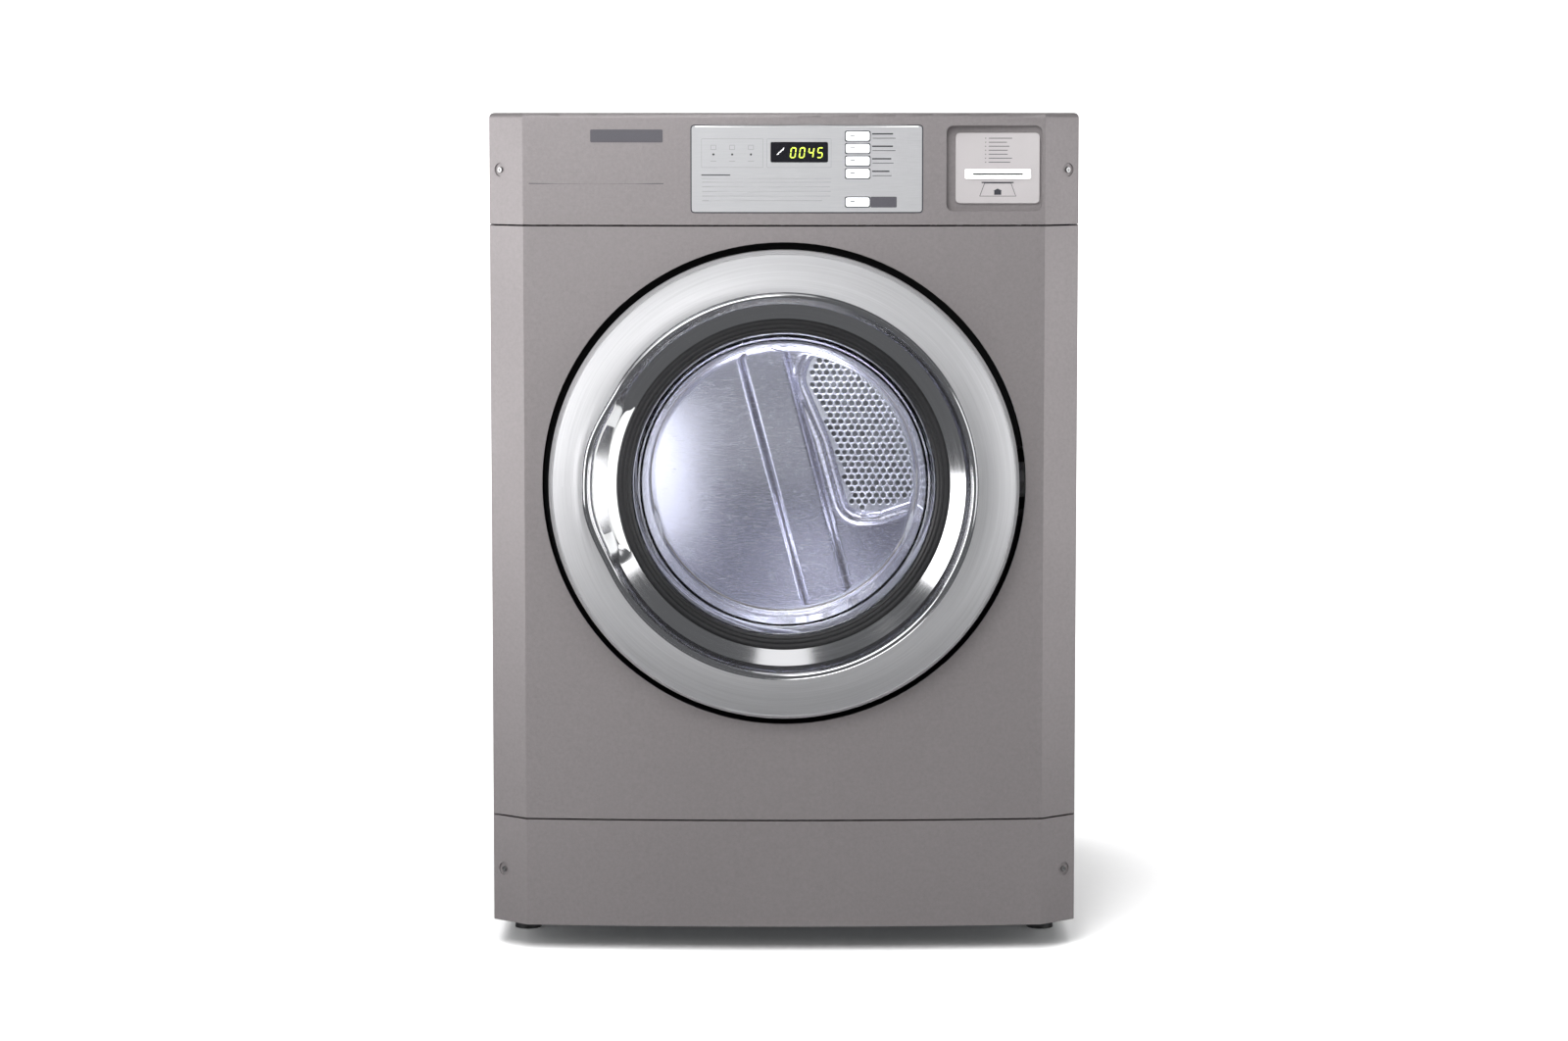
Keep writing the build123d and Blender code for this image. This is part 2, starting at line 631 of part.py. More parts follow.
def in_grille(x, z):
    """True where a hole of the perforated field belongs."""
    lean = (GRILLE_LEFT_LOW[0] - GRILLE_LEFT_TOP[0]) / (GRILLE_LEFT_TOP[1] - GRILLE_LEFT_LOW[1])
    left = GRILLE_LEFT_TOP[0] + (GRILLE_LEFT_TOP[1] - z) * lean + EDGE_MARGIN
    low = GRILLE_LEFT_LOW[1] + (x - GRILLE_LEFT_LOW[0]) * GRILLE_LOW_SLOPE + EDGE_MARGIN
    rise = (GRILLE_TOP_LEFT[1] - GRILLE_LEFT_TOP[1]) / (GRILLE_TOP_LEFT[0] - GRILLE_LEFT_TOP[0])
    notch = GRILLE_LEFT_TOP[1] + (x - GRILLE_LEFT_TOP[0]) * rise - EDGE_MARGIN
    inside_edges = x > left and z > low and z < min(notch, GRILLE_TOP_Z - EDGE_MARGIN)
    return inside_edges and hypot(x, z - DOOR_Z) < GRILLE_R - EDGE_MARGIN


BAND_ANGLE = 14.8
BAND_W = 74.0
BAND_RISE = 9.0
BAND_HALF_L = 262.0

with BuildPart() as rear_bulkhead:
    bulkhead_plate(REAR_BULKHEAD_Y)
    with BuildSketch(facing(REAR_BULKHEAD_Y, 0, DOOR_Z)):
        with Locations(Rotation(0, 0, BAND_ANGLE)):
            RectangleRounded(BAND_W, 2 * BAND_HALF_L, 12)
    extrude(amount=BAND_RISE, taper=25)
    with BuildSketch(facing(REAR_BULKHEAD_Y + THICK_SHEET, 0, DOOR_Z)):
        with Locations(Rotation(0, 0, BAND_ANGLE)):
            RectangleRounded(BAND_W - 2 * THICK_SHEET, 2 * (BAND_HALF_L - THICK_SHEET), 11)
    extrude(amount=BAND_RISE, taper=25, mode=Mode.SUBTRACT)
    with BuildSketch(facing(REAR_BULKHEAD_Y + 5)):
        grille_face(-1.0)
    extrude(amount=25, mode=Mode.SUBTRACT)
    tube(-ROLLER_DX, ROLLER_Z, AXLE_R, REAR_BULKHEAD_Y - 1, REAR_BULKHEAD_Y + 3, mode=Mode.SUBTRACT)
    tube(ROLLER_DX, ROLLER_Z, AXLE_R, REAR_BULKHEAD_Y - 1, REAR_BULKHEAD_Y + 3, mode=Mode.SUBTRACT)
write(rear_bulkhead.part, "rear_bulkhead")

GRID_COLUMNS = 12
hole_points = []
for row_index in range(-GRID_COLUMNS, GRID_COLUMNS + 4):
    shift = GRILLE_PITCH / 2 * (row_index % 2)
    hole_z = DOOR_Z + row_index * GRILLE_PITCH * sin(radians(60))
    for column in range(2 * GRID_COLUMNS):
        hole_x = column * GRILLE_PITCH + shift
        if in_grille(hole_x, hole_z):
            hole_points.append((hole_x, hole_z))

with BuildPart() as inlet_grille:
    with BuildSketch(facing(REAR_BULKHEAD_Y)):
        grille_face(5.0)
    extrude(amount=GRILLE_T)
    with BuildSketch(facing(REAR_BULKHEAD_Y - 5)):
        with Locations(*hole_points):
            Circle(GRILLE_HOLE_R)
    extrude(amount=-10, mode=Mode.SUBTRACT)
write(inlet_grille.part, "inlet_grille")

FELT_W = 32.0
FELT_GAP = 0.4

with BuildPart() as drum_felt_seals:
    for start in (FRONT_BULKHEAD_Y + THICK_SHEET, REAR_BULKHEAD_Y - FELT_W):
        with BuildSketch(facing(start, 0, DOOR_Z)):
            Circle(DRUM_R - DRUM_SHEET - FELT_GAP)
            Circle(FELT_INNER_R, mode=Mode.SUBTRACT)
        extrude(amount=-FELT_W)
write(drum_felt_seals.part, "drum_felt_seals")

# ---------------------------------------------------------------- drum
LIFTER_H = 50.0
LIFTER_HALF_BASE = 34.0
LIFTER_HALF_TOP = 9.0
LIFTER_FRONT = -190.0
LIFTER_BACK = 255.0
BEAD = 3.0
BEAD_YS = (-140.0, 200.0)
BEAD_HALF = 5.0
BEAD_RAMP = 5.0
LIFTER_SEAT = DRUM_R - DRUM_SHEET - 2.0


def beaded_side(radius, half):
    """(radius, y) points along one face of the drum sheet, pressed in at the beads."""
    points = [(radius, DRUM_FRONT)]
    for middle in BEAD_YS:
        points.append((radius, middle - half - BEAD_RAMP))
        points.append((radius - BEAD, middle - half))
        points.append((radius - BEAD, middle + half))
        points.append((radius, middle + half + BEAD_RAMP))
    points.append((radius, DRUM_REAR))
    return points


with BuildPart() as drum_shell:
    with BuildSketch(turning(DOOR_Z)):
        with BuildLine():
            outside = beaded_side(DRUM_R, BEAD_HALF)
            inside = beaded_side(DRUM_R - DRUM_SHEET, BEAD_HALF + 1)
            Polyline(*outside, *reversed(inside), close=True)
        make_face()
    revolve(axis=y_axis(0, DOOR_Z), revolution_arc=360)
write(drum_shell.part, "drum_shell")

with BuildPart() as lifter_bore:
    with BuildSketch(facing(LIFTER_FRONT - 5, 0, DOOR_Z)):
        Circle(DRUM_R - BEAD - DRUM_SHEET - 0.1)
    extrude(amount=-(LIFTER_BACK - LIFTER_FRONT + 10))

with BuildPart() as drum_lifters:
    for step in range(LIFTER_COUNT):
        turn = radians(step * 360 / LIFTER_COUNT)
        spoke = Plane(origin=(0, LIFTER_FRONT, DOOR_Z), x_dir=(cos(turn), 0, sin(turn)), z_dir=(0, -1, 0))
        with BuildSketch(spoke):
            with BuildLine():
                Polyline(
                    (-LIFTER_HALF_BASE, LIFTER_SEAT), (-LIFTER_HALF_TOP, DRUM_R - LIFTER_H),
                    (LIFTER_HALF_TOP, DRUM_R - LIFTER_H), (LIFTER_HALF_BASE, LIFTER_SEAT), close=True,
                )
            make_face()
        extrude(amount=-(LIFTER_BACK - LIFTER_FRONT))
    add(lifter_bore.part, mode=Mode.INTERSECT)
write(drum_lifters.part, "drum_lifters")

# ---------------------------------------------------------------- rollers
ROLLERS = {
    "front_left_roller": (-ROLLER_DX, FRONT_ROLLER_Y),
    "front_right_roller": (ROLLER_DX, FRONT_ROLLER_Y),
    "rear_left_roller": (-ROLLER_DX, REAR_ROLLER_Y),
    "rear_right_roller": (ROLLER_DX, REAR_ROLLER_Y),
}
HUB_R = 12.0
WEB_R0 = 14.0
WEB_R1 = 27.0
TYRE_R0 = 29.0
WEB_SINK = 4.0
TYRE_EDGE = 1.0

for name, (roller_x, roller_y) in ROLLERS.items():
    low = roller_y - ROLLER_W / 2
    high = roller_y + ROLLER_W / 2
    bore = AXLE_R + RUNNING_FIT
    with BuildPart() as roller:
        with BuildSketch(turning(ROLLER_Z, roller_x)):
            with BuildLine():
                Polyline(
                    (bore, low), (HUB_R, low), (WEB_R0, low + WEB_SINK), (WEB_R1, low + WEB_SINK),
                    (TYRE_R0, low), (ROLLER_R - TYRE_EDGE, low), (ROLLER_R, low + TYRE_EDGE),
                    (ROLLER_R, high - TYRE_EDGE), (ROLLER_R - TYRE_EDGE, high), (TYRE_R0, high),
                    (WEB_R1, high - WEB_SINK), (WEB_R0, high - WEB_SINK), (HUB_R, high), (bore, high),
                    close=True,
                )
            make_face()
        revolve(axis=y_axis(roller_x, ROLLER_Z), revolution_arc=360)
    write(roller.part, name)

AXLE_END = 12.0
AXLE_HEAD_R = 10.0
AXLE_HEAD_H = 4.0
CLIP_R = 8.5
CLIP_T = 1.5

with BuildPart() as roller_axles:
    for roller_x, roller_y in ROLLERS.values():
        rear = roller_y > 0
        wall = REAR_BULKHEAD_Y if rear else FRONT_BULKHEAD_Y
        inner_end = REAR_ROLLER_Y - AXLE_END if rear else FRONT_ROLLER_Y + AXLE_END
        near = min(inner_end, wall)
        far = max(inner_end, wall + THICK_SHEET)
        tube(roller_x, ROLLER_Z, AXLE_R, near, far)
        head = wall + THICK_SHEET if rear else wall - AXLE_HEAD_H
        tube(roller_x, ROLLER_Z, AXLE_HEAD_R, head, head + AXLE_HEAD_H)
        clip = inner_end if rear else inner_end - CLIP_T
        tube(roller_x, ROLLER_Z, CLIP_R, clip, clip + CLIP_T)
write(roller_axles.part, "roller_axles")

# ---------------------------------------------------------------- motor, belt and idler
BLOWER_FRONT = -215.0
BLOWER_BACK = -140.0
MOTOR_FRONT = -110.0
MOTOR_BACK = 75.0
SHAFT_R = 6.0
SHAFT_FRONT = -205.0
SHAFT_BACK = 112.0
CORE_R = 38.0
PAN_TOP = Z_PANELS + THICK_SHEET
SHELL_INSET = 25.0
CAP_INSET = 10.0
CAP_STEP = 8.0
BEARING_R = 22.0
MOTOR_FOOT_T = 12.0
MOTOR_FOOT_HALF = 50.0

with BuildPart() as motor_body:
    tube(MOTOR_X, MOTOR_Z, MOTOR_R, MOTOR_FRONT + SHELL_INSET, MOTOR_BACK - SHELL_INSET)
    tube(MOTOR_X, MOTOR_Z, MOTOR_R - CAP_STEP, MOTOR_FRONT + CAP_INSET, MOTOR_BACK - CAP_INSET)
    tube(MOTOR_X, MOTOR_Z, BEARING_R, MOTOR_FRONT, MOTOR_BACK)
    for foot in (MOTOR_FRONT + 30, MOTOR_BACK - 30 - MOTOR_FOOT_T):
        rect_prism(
            MOTOR_X - MOTOR_FOOT_HALF, MOTOR_X + MOTOR_FOOT_HALF, PAN_TOP, MOTOR_Z - 30,
            foot, foot + MOTOR_FOOT_T,
        )
    tube(MOTOR_X, MOTOR_Z, CORE_R + 2, MOTOR_FRONT + 20, MOTOR_BACK - 20, mode=Mode.SUBTRACT)
    tube(MOTOR_X, MOTOR_Z, SHAFT_R + RUNNING_FIT, MOTOR_FRONT - 1, MOTOR_BACK + 1, mode=Mode.SUBTRACT)
write(motor_body.part, "motor_body")

FLANGE_R = 17.0
FLANGE_GAP = 2.0
FLANGE_T = 3.0
FLANGE_OUT = BELT_W / 2 + FLANGE_GAP + FLANGE_T

with BuildPart() as motor_rotor:
    tube(MOTOR_X, MOTOR_Z, SHAFT_R, SHAFT_FRONT, SHAFT_BACK)
    tube(MOTOR_X, MOTOR_Z, CORE_R, MOTOR_FRONT + 35, MOTOR_BACK - 35)
    tube(MOTOR_X, MOTOR_Z, PULLEY_R, BELT_Y - FLANGE_OUT, BELT_Y + FLANGE_OUT)
    tube(MOTOR_X, MOTOR_Z, FLANGE_R, BELT_Y - FLANGE_OUT, BELT_Y - FLANGE_OUT + FLANGE_T)
    tube(MOTOR_X, MOTOR_Z, FLANGE_R, BELT_Y + FLANGE_OUT - FLANGE_T, BELT_Y + FLANGE_OUT)
write(motor_rotor.part, "motor_rotor")

BLADES = 28
WHEEL_FRONT = -200.0
WHEEL_BACK = -155.0
WHEEL_DISC_T = 3.0
WHEEL_HUB_R = 16.0
WHEEL_RING_W = 14.0
BLADE_L = 18.0
BLADE_T = 1.6
BLADE_ANGLE = 35.0
BLADE_MID_R = BLOWER_R - 9.0
WHEEL_CUT = 100.0

with BuildPart() as blower_wheel:
    tube(MOTOR_X, MOTOR_Z, BLOWER_R, WHEEL_BACK - WHEEL_DISC_T, WHEEL_BACK)
    tube(MOTOR_X, MOTOR_Z, WHEEL_HUB_R, WHEEL_FRONT + 15, WHEEL_BACK)
    with BuildSketch(facing(WHEEL_FRONT, MOTOR_X, MOTOR_Z)):
        with PolarLocations(BLADE_MID_R, BLADES):
            with Locations(Rotation(0, 0, BLADE_ANGLE)):
                Rectangle(BLADE_L, BLADE_T)
    extrude(amount=-(WHEEL_BACK - WHEEL_FRONT))
    with BuildSketch(facing(WHEEL_FRONT, MOTOR_X, MOTOR_Z)):
        Circle(BLOWER_R)
        Circle(BLOWER_R - WHEEL_RING_W, mode=Mode.SUBTRACT)
    extrude(amount=-WHEEL_DISC_T)
    with BuildSketch(facing(SHAFT_FRONT - 5, MOTOR_X, MOTOR_Z)):
        Circle(SHAFT_R)
    extrude(amount=-WHEEL_CUT, mode=Mode.SUBTRACT)
    with BuildSketch(facing(SHAFT_FRONT - 5, MOTOR_X, MOTOR_Z)):
        Circle(BLOWER_R + 20)
        Circle(BLOWER_R, mode=Mode.SUBTRACT)
    extrude(amount=-WHEEL_CUT, mode=Mode.SUBTRACT)
write(blower_wheel.part, "blower_wheel")


def belt_loop(clearance):
    """Closed outline wrapped round the drum and the motor pulley."""
    gap = BELT_GAP + clearance
    drum_ring = Edge.make_circle(DRUM_R + gap)
    pulley_ring = Edge.make_circle(PULLEY_R + gap).moved(Location((MOTOR_X, MOTOR_Z - DOOR_Z, 0)))
    make_hull([drum_ring, pulley_ring])


with BuildPart() as drive_belt:
    with BuildSketch(facing(BELT_Y - BELT_W / 2, 0, DOOR_Z)):
        belt_loop(BELT_T)
    extrude(amount=-BELT_W)
    with BuildSketch(facing(BELT_Y - BELT_W, 0, DOOR_Z)):
        belt_loop(0)
    extrude(amount=-2 * BELT_W, mode=Mode.SUBTRACT)
write(drive_belt.part, "drive_belt")

# the idler runs on the back of the slack strand, between the motor and the drum
SPAN = hypot(MOTOR_X, DOOR_Z - MOTOR_Z)
WRAP = degrees(asin((DRUM_R - PULLEY_R) / SPAN))
SPAN_ANGLE = -degrees(asin((DOOR_Z - MOTOR_Z) / SPAN))
STRAND_ANGLE = SPAN_ANGLE - (90 - WRAP)
STRAND_NX = cos(radians(STRAND_ANGLE))
STRAND_NZ = sin(radians(STRAND_ANGLE))
IDLER_ALONG = 150.0
IDLER_OFF = PULLEY_R + BELT_T + 2 * BELT_GAP + IDLER_R
IDLER_X = MOTOR_X + IDLER_ALONG * STRAND_NZ + IDLER_OFF * STRAND_NX
IDLER_Z = MOTOR_Z - IDLER_ALONG * STRAND_NX + IDLER_OFF * STRAND_NZ
ARM_X = -80.0
ARM_Z = 150.0
ARM_Y = 108.0
ARM_T = 4.0
PIVOT_R = 5.0
ARM_PIVOT_END_R = 13.0
ARM_WHEEL_END_R = 9.0
BRACKET_HALF_W = 22.0
BRACKET_T = 3.0
BRACKET_Y = ARM_Y + ARM_T + 1.0
BRACKET_FOOT = 35.0

with BuildPart() as idler_bracket:
    rect_prism(
        ARM_X - BRACKET_HALF_W, ARM_X + BRACKET_HALF_W, PAN_TOP, ARM_Z + 14,
        BRACKET_Y, BRACKET_Y + BRACKET_T, radius=2,
    )
    rect_prism(
        ARM_X - BRACKET_HALF_W, ARM_X + BRACKET_HALF_W, PAN_TOP, PAN_TOP + BRACKET_T,
        BRACKET_Y, BRACKET_Y + BRACKET_FOOT,
    )
    tube(ARM_X, ARM_Z, PIVOT_R, ARM_Y - 3, BRACKET_Y + BRACKET_T)
write(idler_bracket.part, "idler_bracket")

with BuildPart() as idler_arm:
    with BuildSketch(facing(ARM_Y)):
        arm_ends = [
            Edge.make_circle(ARM_PIVOT_END_R).moved(Location((ARM_X, ARM_Z, 0))),
            Edge.make_circle(ARM_WHEEL_END_R).moved(Location((IDLER_X, IDLER_Z, 0))),
        ]
        make_hull(arm_ends)
    extrude(amount=-ARM_T)
    tube(ARM_X, ARM_Z, PIVOT_R + RUNNING_FIT, ARM_Y - 5, ARM_Y + 10, mode=Mode.SUBTRACT)
    tube(IDLER_X, IDLER_Z, PIVOT_R, BELT_Y - 8, ARM_Y)
    tube(IDLER_X, IDLER_Z, PIVOT_R + 3, ARM_Y - 2, ARM_Y)
write(idler_arm.part, "idler_arm")

with BuildPart() as idler_pulley:
    tube(IDLER_X, IDLER_Z, IDLER_R, BELT_Y - 6, BELT_Y + 5.5)
    tube(IDLER_X, IDLER_Z, PIVOT_R + RUNNING_FIT, BELT_Y - 9, BELT_Y + 9, mode=Mode.SUBTRACT)
write(idler_pulley.part, "idler_pulley")

# ---------------------------------------------------------------- air path
WALL = 2.0
BOX_X0 = -58.0
BOX_Z0 = 46.0
BOX_Z1 = 154.0
VOLUTE_R = 94.0
INLET_R = 62.0
HUB_HOLE_R = 12.0
FOOT_HALF_W = 8.0
FOOT_INSET = 20.0


def volute_face(inset):
    """Blower scroll: a round chamber that opens into a box towards the exhaust duct."""
    with Locations((MOTOR_X, MOTOR_Z)):
        Circle(VOLUTE_R - inset)
    with Locations(((BOX_X0 + MOTOR_X) / 2, (BOX_Z0 + BOX_Z1) / 2)):
        Rectangle(MOTOR_X - BOX_X0 - 2 * inset, BOX_Z1 - BOX_Z0 - 2 * inset)


with BuildPart() as blower_housing:
    with BuildSketch(facing(BLOWER_FRONT)):
        volute_face(0)
    extrude(amount=-(BLOWER_BACK - BLOWER_FRONT))
    with BuildSketch(facing(BLOWER_FRONT + WALL)):
        volute_face(WALL)
    extrude(amount=-(BLOWER_BACK - BLOWER_FRONT - 2 * WALL), mode=Mode.SUBTRACT)
    tube(MOTOR_X, MOTOR_Z, INLET_R, BLOWER_FRONT - 1, BLOWER_FRONT + WALL + 1, mode=Mode.SUBTRACT)
    tube(MOTOR_X, MOTOR_Z, HUB_HOLE_R, BLOWER_BACK - WALL - 1, BLOWER_BACK + 1, mode=Mode.SUBTRACT)
    tube(0, DUCT_Z, DUCT_R - WALL, BLOWER_BACK - WALL - 1, BLOWER_BACK + 1, mode=Mode.SUBTRACT)
    for foot_x, foot_top in ((BOX_X0 + 20, BOX_Z0 + 1), (MOTOR_X + 40, MOTOR_Z - 78)):
        rect_prism(
            foot_x - FOOT_HALF_W, foot_x + FOOT_HALF_W, PAN_TOP, foot_top,
            BLOWER_FRONT + FOOT_INSET, BLOWER_BACK - FOOT_INSET,
        )
    tube(MOTOR_X, MOTOR_Z, VOLUTE_R - WALL, BLOWER_FRONT + WALL, BLOWER_BACK - WALL, mode=Mode.SUBTRACT)
write(blower_housing.part, "blower_housing")

DUCT_STEP = 0.8
DUCT_BORE = DUCT_R - DUCT_STEP - WALL / 2

with BuildPart() as exhaust_duct:
    tube(0, DUCT_Z, DUCT_R - DUCT_STEP, BLOWER_BACK, Y_REAR)
    tube(0, DUCT_Z, DUCT_R, Y_REAR, Y_DUCT_END)
    tube(0, DUCT_Z, DUCT_BORE, BLOWER_BACK - 1, Y_DUCT_END + 1, mode=Mode.SUBTRACT)
write(exhaust_duct.part, "exhaust_duct")

CHANNEL_HALF_W = FILTER_W / 2 + 5
CHANNEL_FRONT = FILTER_Y - FILTER_T / 2 - 4
CHANNEL_BACK = FILTER_Y + FILTER_T / 2 + 4
CHANNEL_LOW = 232.0
CHANNEL_HIGH = 440.0
CHANNEL_FLOOR = 205.0
FUNNEL_Z1 = 222.0
FUNNEL_BACK = BLOWER_FRONT - 0.2
FUNNEL_X0 = 40.0
FUNNEL_X1 = 220.0
FUNNEL_Z0 = 66.0

with BuildPart() as lint_duct:
    rect_prism(-CHANNEL_HALF_W, CHANNEL_HALF_W, CHANNEL_LOW, CHANNEL_HIGH, CHANNEL_FRONT, CHANNEL_BACK)
    tube(0, DOOR_Z, MOUTH_R + THICK_SHEET + 0.1, TUNNEL_FRONT - 10, FRONT_BULKHEAD_Y, mode=Mode.SUBTRACT)
    rect_prism(-CHANNEL_HALF_W, FUNNEL_X1, CHANNEL_FLOOR, CHANNEL_LOW, CHANNEL_FRONT, CHANNEL_BACK)
    rect_prism(FUNNEL_X0, FUNNEL_X1, FUNNEL_Z0, FUNNEL_Z1, CHANNEL_FRONT, FUNNEL_BACK)
    rect_prism(
        -CHANNEL_HALF_W + WALL, CHANNEL_HALF_W - WALL, CHANNEL_FLOOR + WALL, CHANNEL_HIGH + 5,
        CHANNEL_FRONT + WALL, CHANNEL_BACK - WALL, mode=Mode.SUBTRACT,
    )
    rect_prism(
        FUNNEL_X0 + WALL, FUNNEL_X1 - WALL, FUNNEL_Z0 + WALL, FUNNEL_Z1 - WALL,
        CHANNEL_FRONT + WALL, FUNNEL_BACK - WALL, mode=Mode.SUBTRACT,
    )
    rect_prism(
        FUNNEL_X0 + WALL, CHANNEL_HALF_W - WALL, CHANNEL_FLOOR - 5, CHANNEL_LOW + 8,
        CHANNEL_FRONT + WALL, CHANNEL_BACK - WALL, mode=Mode.SUBTRACT,
    )
    tube(MOTOR_X, MOTOR_Z, INLET_R, FUNNEL_BACK - WALL - 1, FUNNEL_BACK + 1, mode=Mode.SUBTRACT)
write(lint_duct.part, "lint_duct")

FILTER_LOW = 250.0
FILTER_TOP = 440.0
MESH_T = 1.0
BAR = 10.0
WINDOW_COUNT = 4
TAB_HALF_W = 35.0
TAB_T = 6.0

with BuildPart() as filter_windows:
    for column in range(WINDOW_COUNT):
        left = -FILTER_W / 2 + BAR + column * (FILTER_W - BAR) / WINDOW_COUNT
        rect_prism(
            left, left + (FILTER_W - BAR) / WINDOW_COUNT - BAR, FILTER_LOW + BAR, DOOR_Z - MOUTH_R + 12,
            FILTER_Y - FILTER_T, FILTER_Y + FILTER_T,
        )
    rect_prism(
        -FILTER_W, FILTER_W, FILTER_LOW, FILTER_TOP, FILTER_Y - MESH_T / 2, FILTER_Y + MESH_T / 2,
        mode=Mode.SUBTRACT,
    )
    tube(0, DOOR_Z, MOUTH_R + BAR, FILTER_Y - 20, FILTER_Y + 20, mode=Mode.SUBTRACT)

with BuildPart() as lint_filter:
    rect_prism(
        -FILTER_W / 2, FILTER_W / 2, FILTER_LOW, FILTER_TOP,
        FILTER_Y - FILTER_T / 2, FILTER_Y + FILTER_T / 2,
    )
    tube(0, DOOR_Z, MOUTH_R, FILTER_Y - 20, FILTER_Y + 20, mode=Mode.SUBTRACT)
    add(filter_windows.part, mode=Mode.SUBTRACT)
    rect_prism(
        -TAB_HALF_W, TAB_HALF_W, DOOR_Z - MOUTH_R - 2, DOOR_Z - MOUTH_R + 12,
        FILTER_Y - TAB_T / 2, FILTER_Y + TAB_T / 2, radius=3,
    )
write(lint_filter.part, "lint_filter")

# ---------------------------------------------------------------- heater
HEATER_X0 = 20.0
HEATER_X1 = 236.0
HEATER_Z0 = 160.0
HEATER_STEP_Z = 330.0
HEATER_LOW_X1 = 178.0
HEATER_Z1 = 690.0
HEATER_FRONT = REAR_BULKHEAD_Y + THICK_SHEET
HEATER_BACK = 346.0
ROD_R = 3.2
ROD_Y = 323.0
ROD_Z0 = 250.0
ROD_Z1 = 420.0
ROD_PITCH = 22.0
ROD_X = 42.0
ROD_LOW = 200.0
ROD_COUNT = 6
ROD_BEND = 9.9
FLANGE_HALF_Y = 15.0
FLANGE_SIDE = 12.0
FLANGE_H = 5.0

with BuildPart() as heater_duct:
    rect_prism(HEATER_X0, HEATER_X1, HEATER_STEP_Z, HEATER_Z1, HEATER_FRONT, HEATER_BACK)
    rect_prism(HEATER_X0, HEATER_LOW_X1, HEATER_Z0, HEATER_STEP_Z + 1, HEATER_FRONT, HEATER_BACK)
    rect_prism(
        HEATER_X0 + SHEET, HEATER_X1 - SHEET, HEATER_STEP_Z + SHEET, HEATER_Z1 - SHEET,
        HEATER_FRONT + SHEET, HEATER_BACK - SHEET, mode=Mode.SUBTRACT,
    )
    rect_prism(
        HEATER_X0 + SHEET, HEATER_LOW_X1 - SHEET, HEATER_Z0 - 1, HEATER_STEP_Z + 2,
        HEATER_FRONT + SHEET, HEATER_BACK - SHEET, mode=Mode.SUBTRACT,
    )
    with BuildSketch(facing(HEATER_FRONT + 3)):
        grille_face(-1.0)
    extrude(amount=8, mode=Mode.SUBTRACT)
write(heater_duct.part, "heater_duct")

rod_path = [(ROD_X, ROD_Y, ROD_LOW)]
for turn in range(ROD_COUNT - 1):
    level = ROD_Z1 if turn % 2 == 0 else ROD_Z0
    rod_path.append((ROD_X + turn * ROD_PITCH, ROD_Y, level))
    rod_path.append((ROD_X + (turn + 1) * ROD_PITCH, ROD_Y, level))
rod_path.append((ROD_X + (ROD_COUNT - 1) * ROD_PITCH, ROD_Y, ROD_LOW))

with BuildPart() as heater_element:
    with BuildLine() as rod_line:
        FilletPolyline(*rod_path, radius=ROD_BEND)
    with BuildSketch(Plane(origin=rod_path[0], z_dir=(0, 0, 1))):
        Circle(ROD_R)
    sweep(path=rod_line.line)
    rect_prism(
        ROD_X - FLANGE_SIDE, ROD_X + (ROD_COUNT - 1) * ROD_PITCH + FLANGE_SIDE,
        ROD_LOW - FLANGE_H, ROD_LOW, ROD_Y - FLANGE_HALF_Y, ROD_Y + FLANGE_HALF_Y,
    )
write(heater_element.part, "heater_element")

# ---------------------------------------------------------------- door
RING_BACK = -342.0
HANDLE_FROM = 150.0
HANDLE_TO = 206.0
HANDLE_ARC = HANDLE_TO - HANDLE_FROM


def handle_sector(points):
    """Turn a (radius, y) profile through the arc where the pull handle sits."""
    start = Plane(
        origin=(0, 0, DOOR_Z),
        x_dir=(cos(radians(HANDLE_FROM)), 0, sin(radians(HANDLE_FROM))),
        z_dir=(-sin(radians(HANDLE_FROM)), 0, cos(radians(HANDLE_FROM))),
    )
    with BuildSketch(start) as profile:
        with BuildLine():
            Polyline(*points, close=True)
        make_face()
    revolve(profile.sketch, axis=Axis((0, 0, DOOR_Z), (0, -1, 0)), revolution_arc=HANDLE_ARC)


with BuildPart() as handle_cut:
    handle_sector([(190, Y_DOOR - 1), (228, Y_DOOR - 1), (228, -349), (190, -349)])

with BuildPart() as door_outer_ring:
    with BuildSketch(turning(DOOR_Z)):
        with BuildLine():
            Line((LIP_R, -378), (LIP_R + 1, Y_DOOR + 0.6))
            ThreePointArc((LIP_R + 1, Y_DOOR + 0.6), (LIP_R + 4, Y_DOOR), (LIP_R + 8, Y_DOOR + 1.2))
            ThreePointArc((LIP_R + 8, Y_DOOR + 1.2), (248, Y_DOOR + 5), (267, Y_DOOR + 11.5))
            ThreePointArc((267, Y_DOOR + 11.5), (271, Y_DOOR + 15), (RING_R, Y_DOOR + 21))
            Polyline(
                (RING_R, Y_DOOR + 21), (RING_R, RING_BACK), (RING_R - 3, RING_BACK),
                (RING_R - 3, Y_DOOR + 21), (265, Y_DOOR + 15), (248, Y_DOOR + 8.2),
                (LIP_R + 9, Y_DOOR + 4.4), (LIP_R + 3, -376), (LIP_R, -378),
            )
        make_face()
    revolve(axis=y_axis(0, DOOR_Z), revolution_arc=360)
    add(handle_cut.part, mode=Mode.SUBTRACT)
write(door_outer_ring.part, "door_outer_ring")

BEVEL_BACK = -354.0

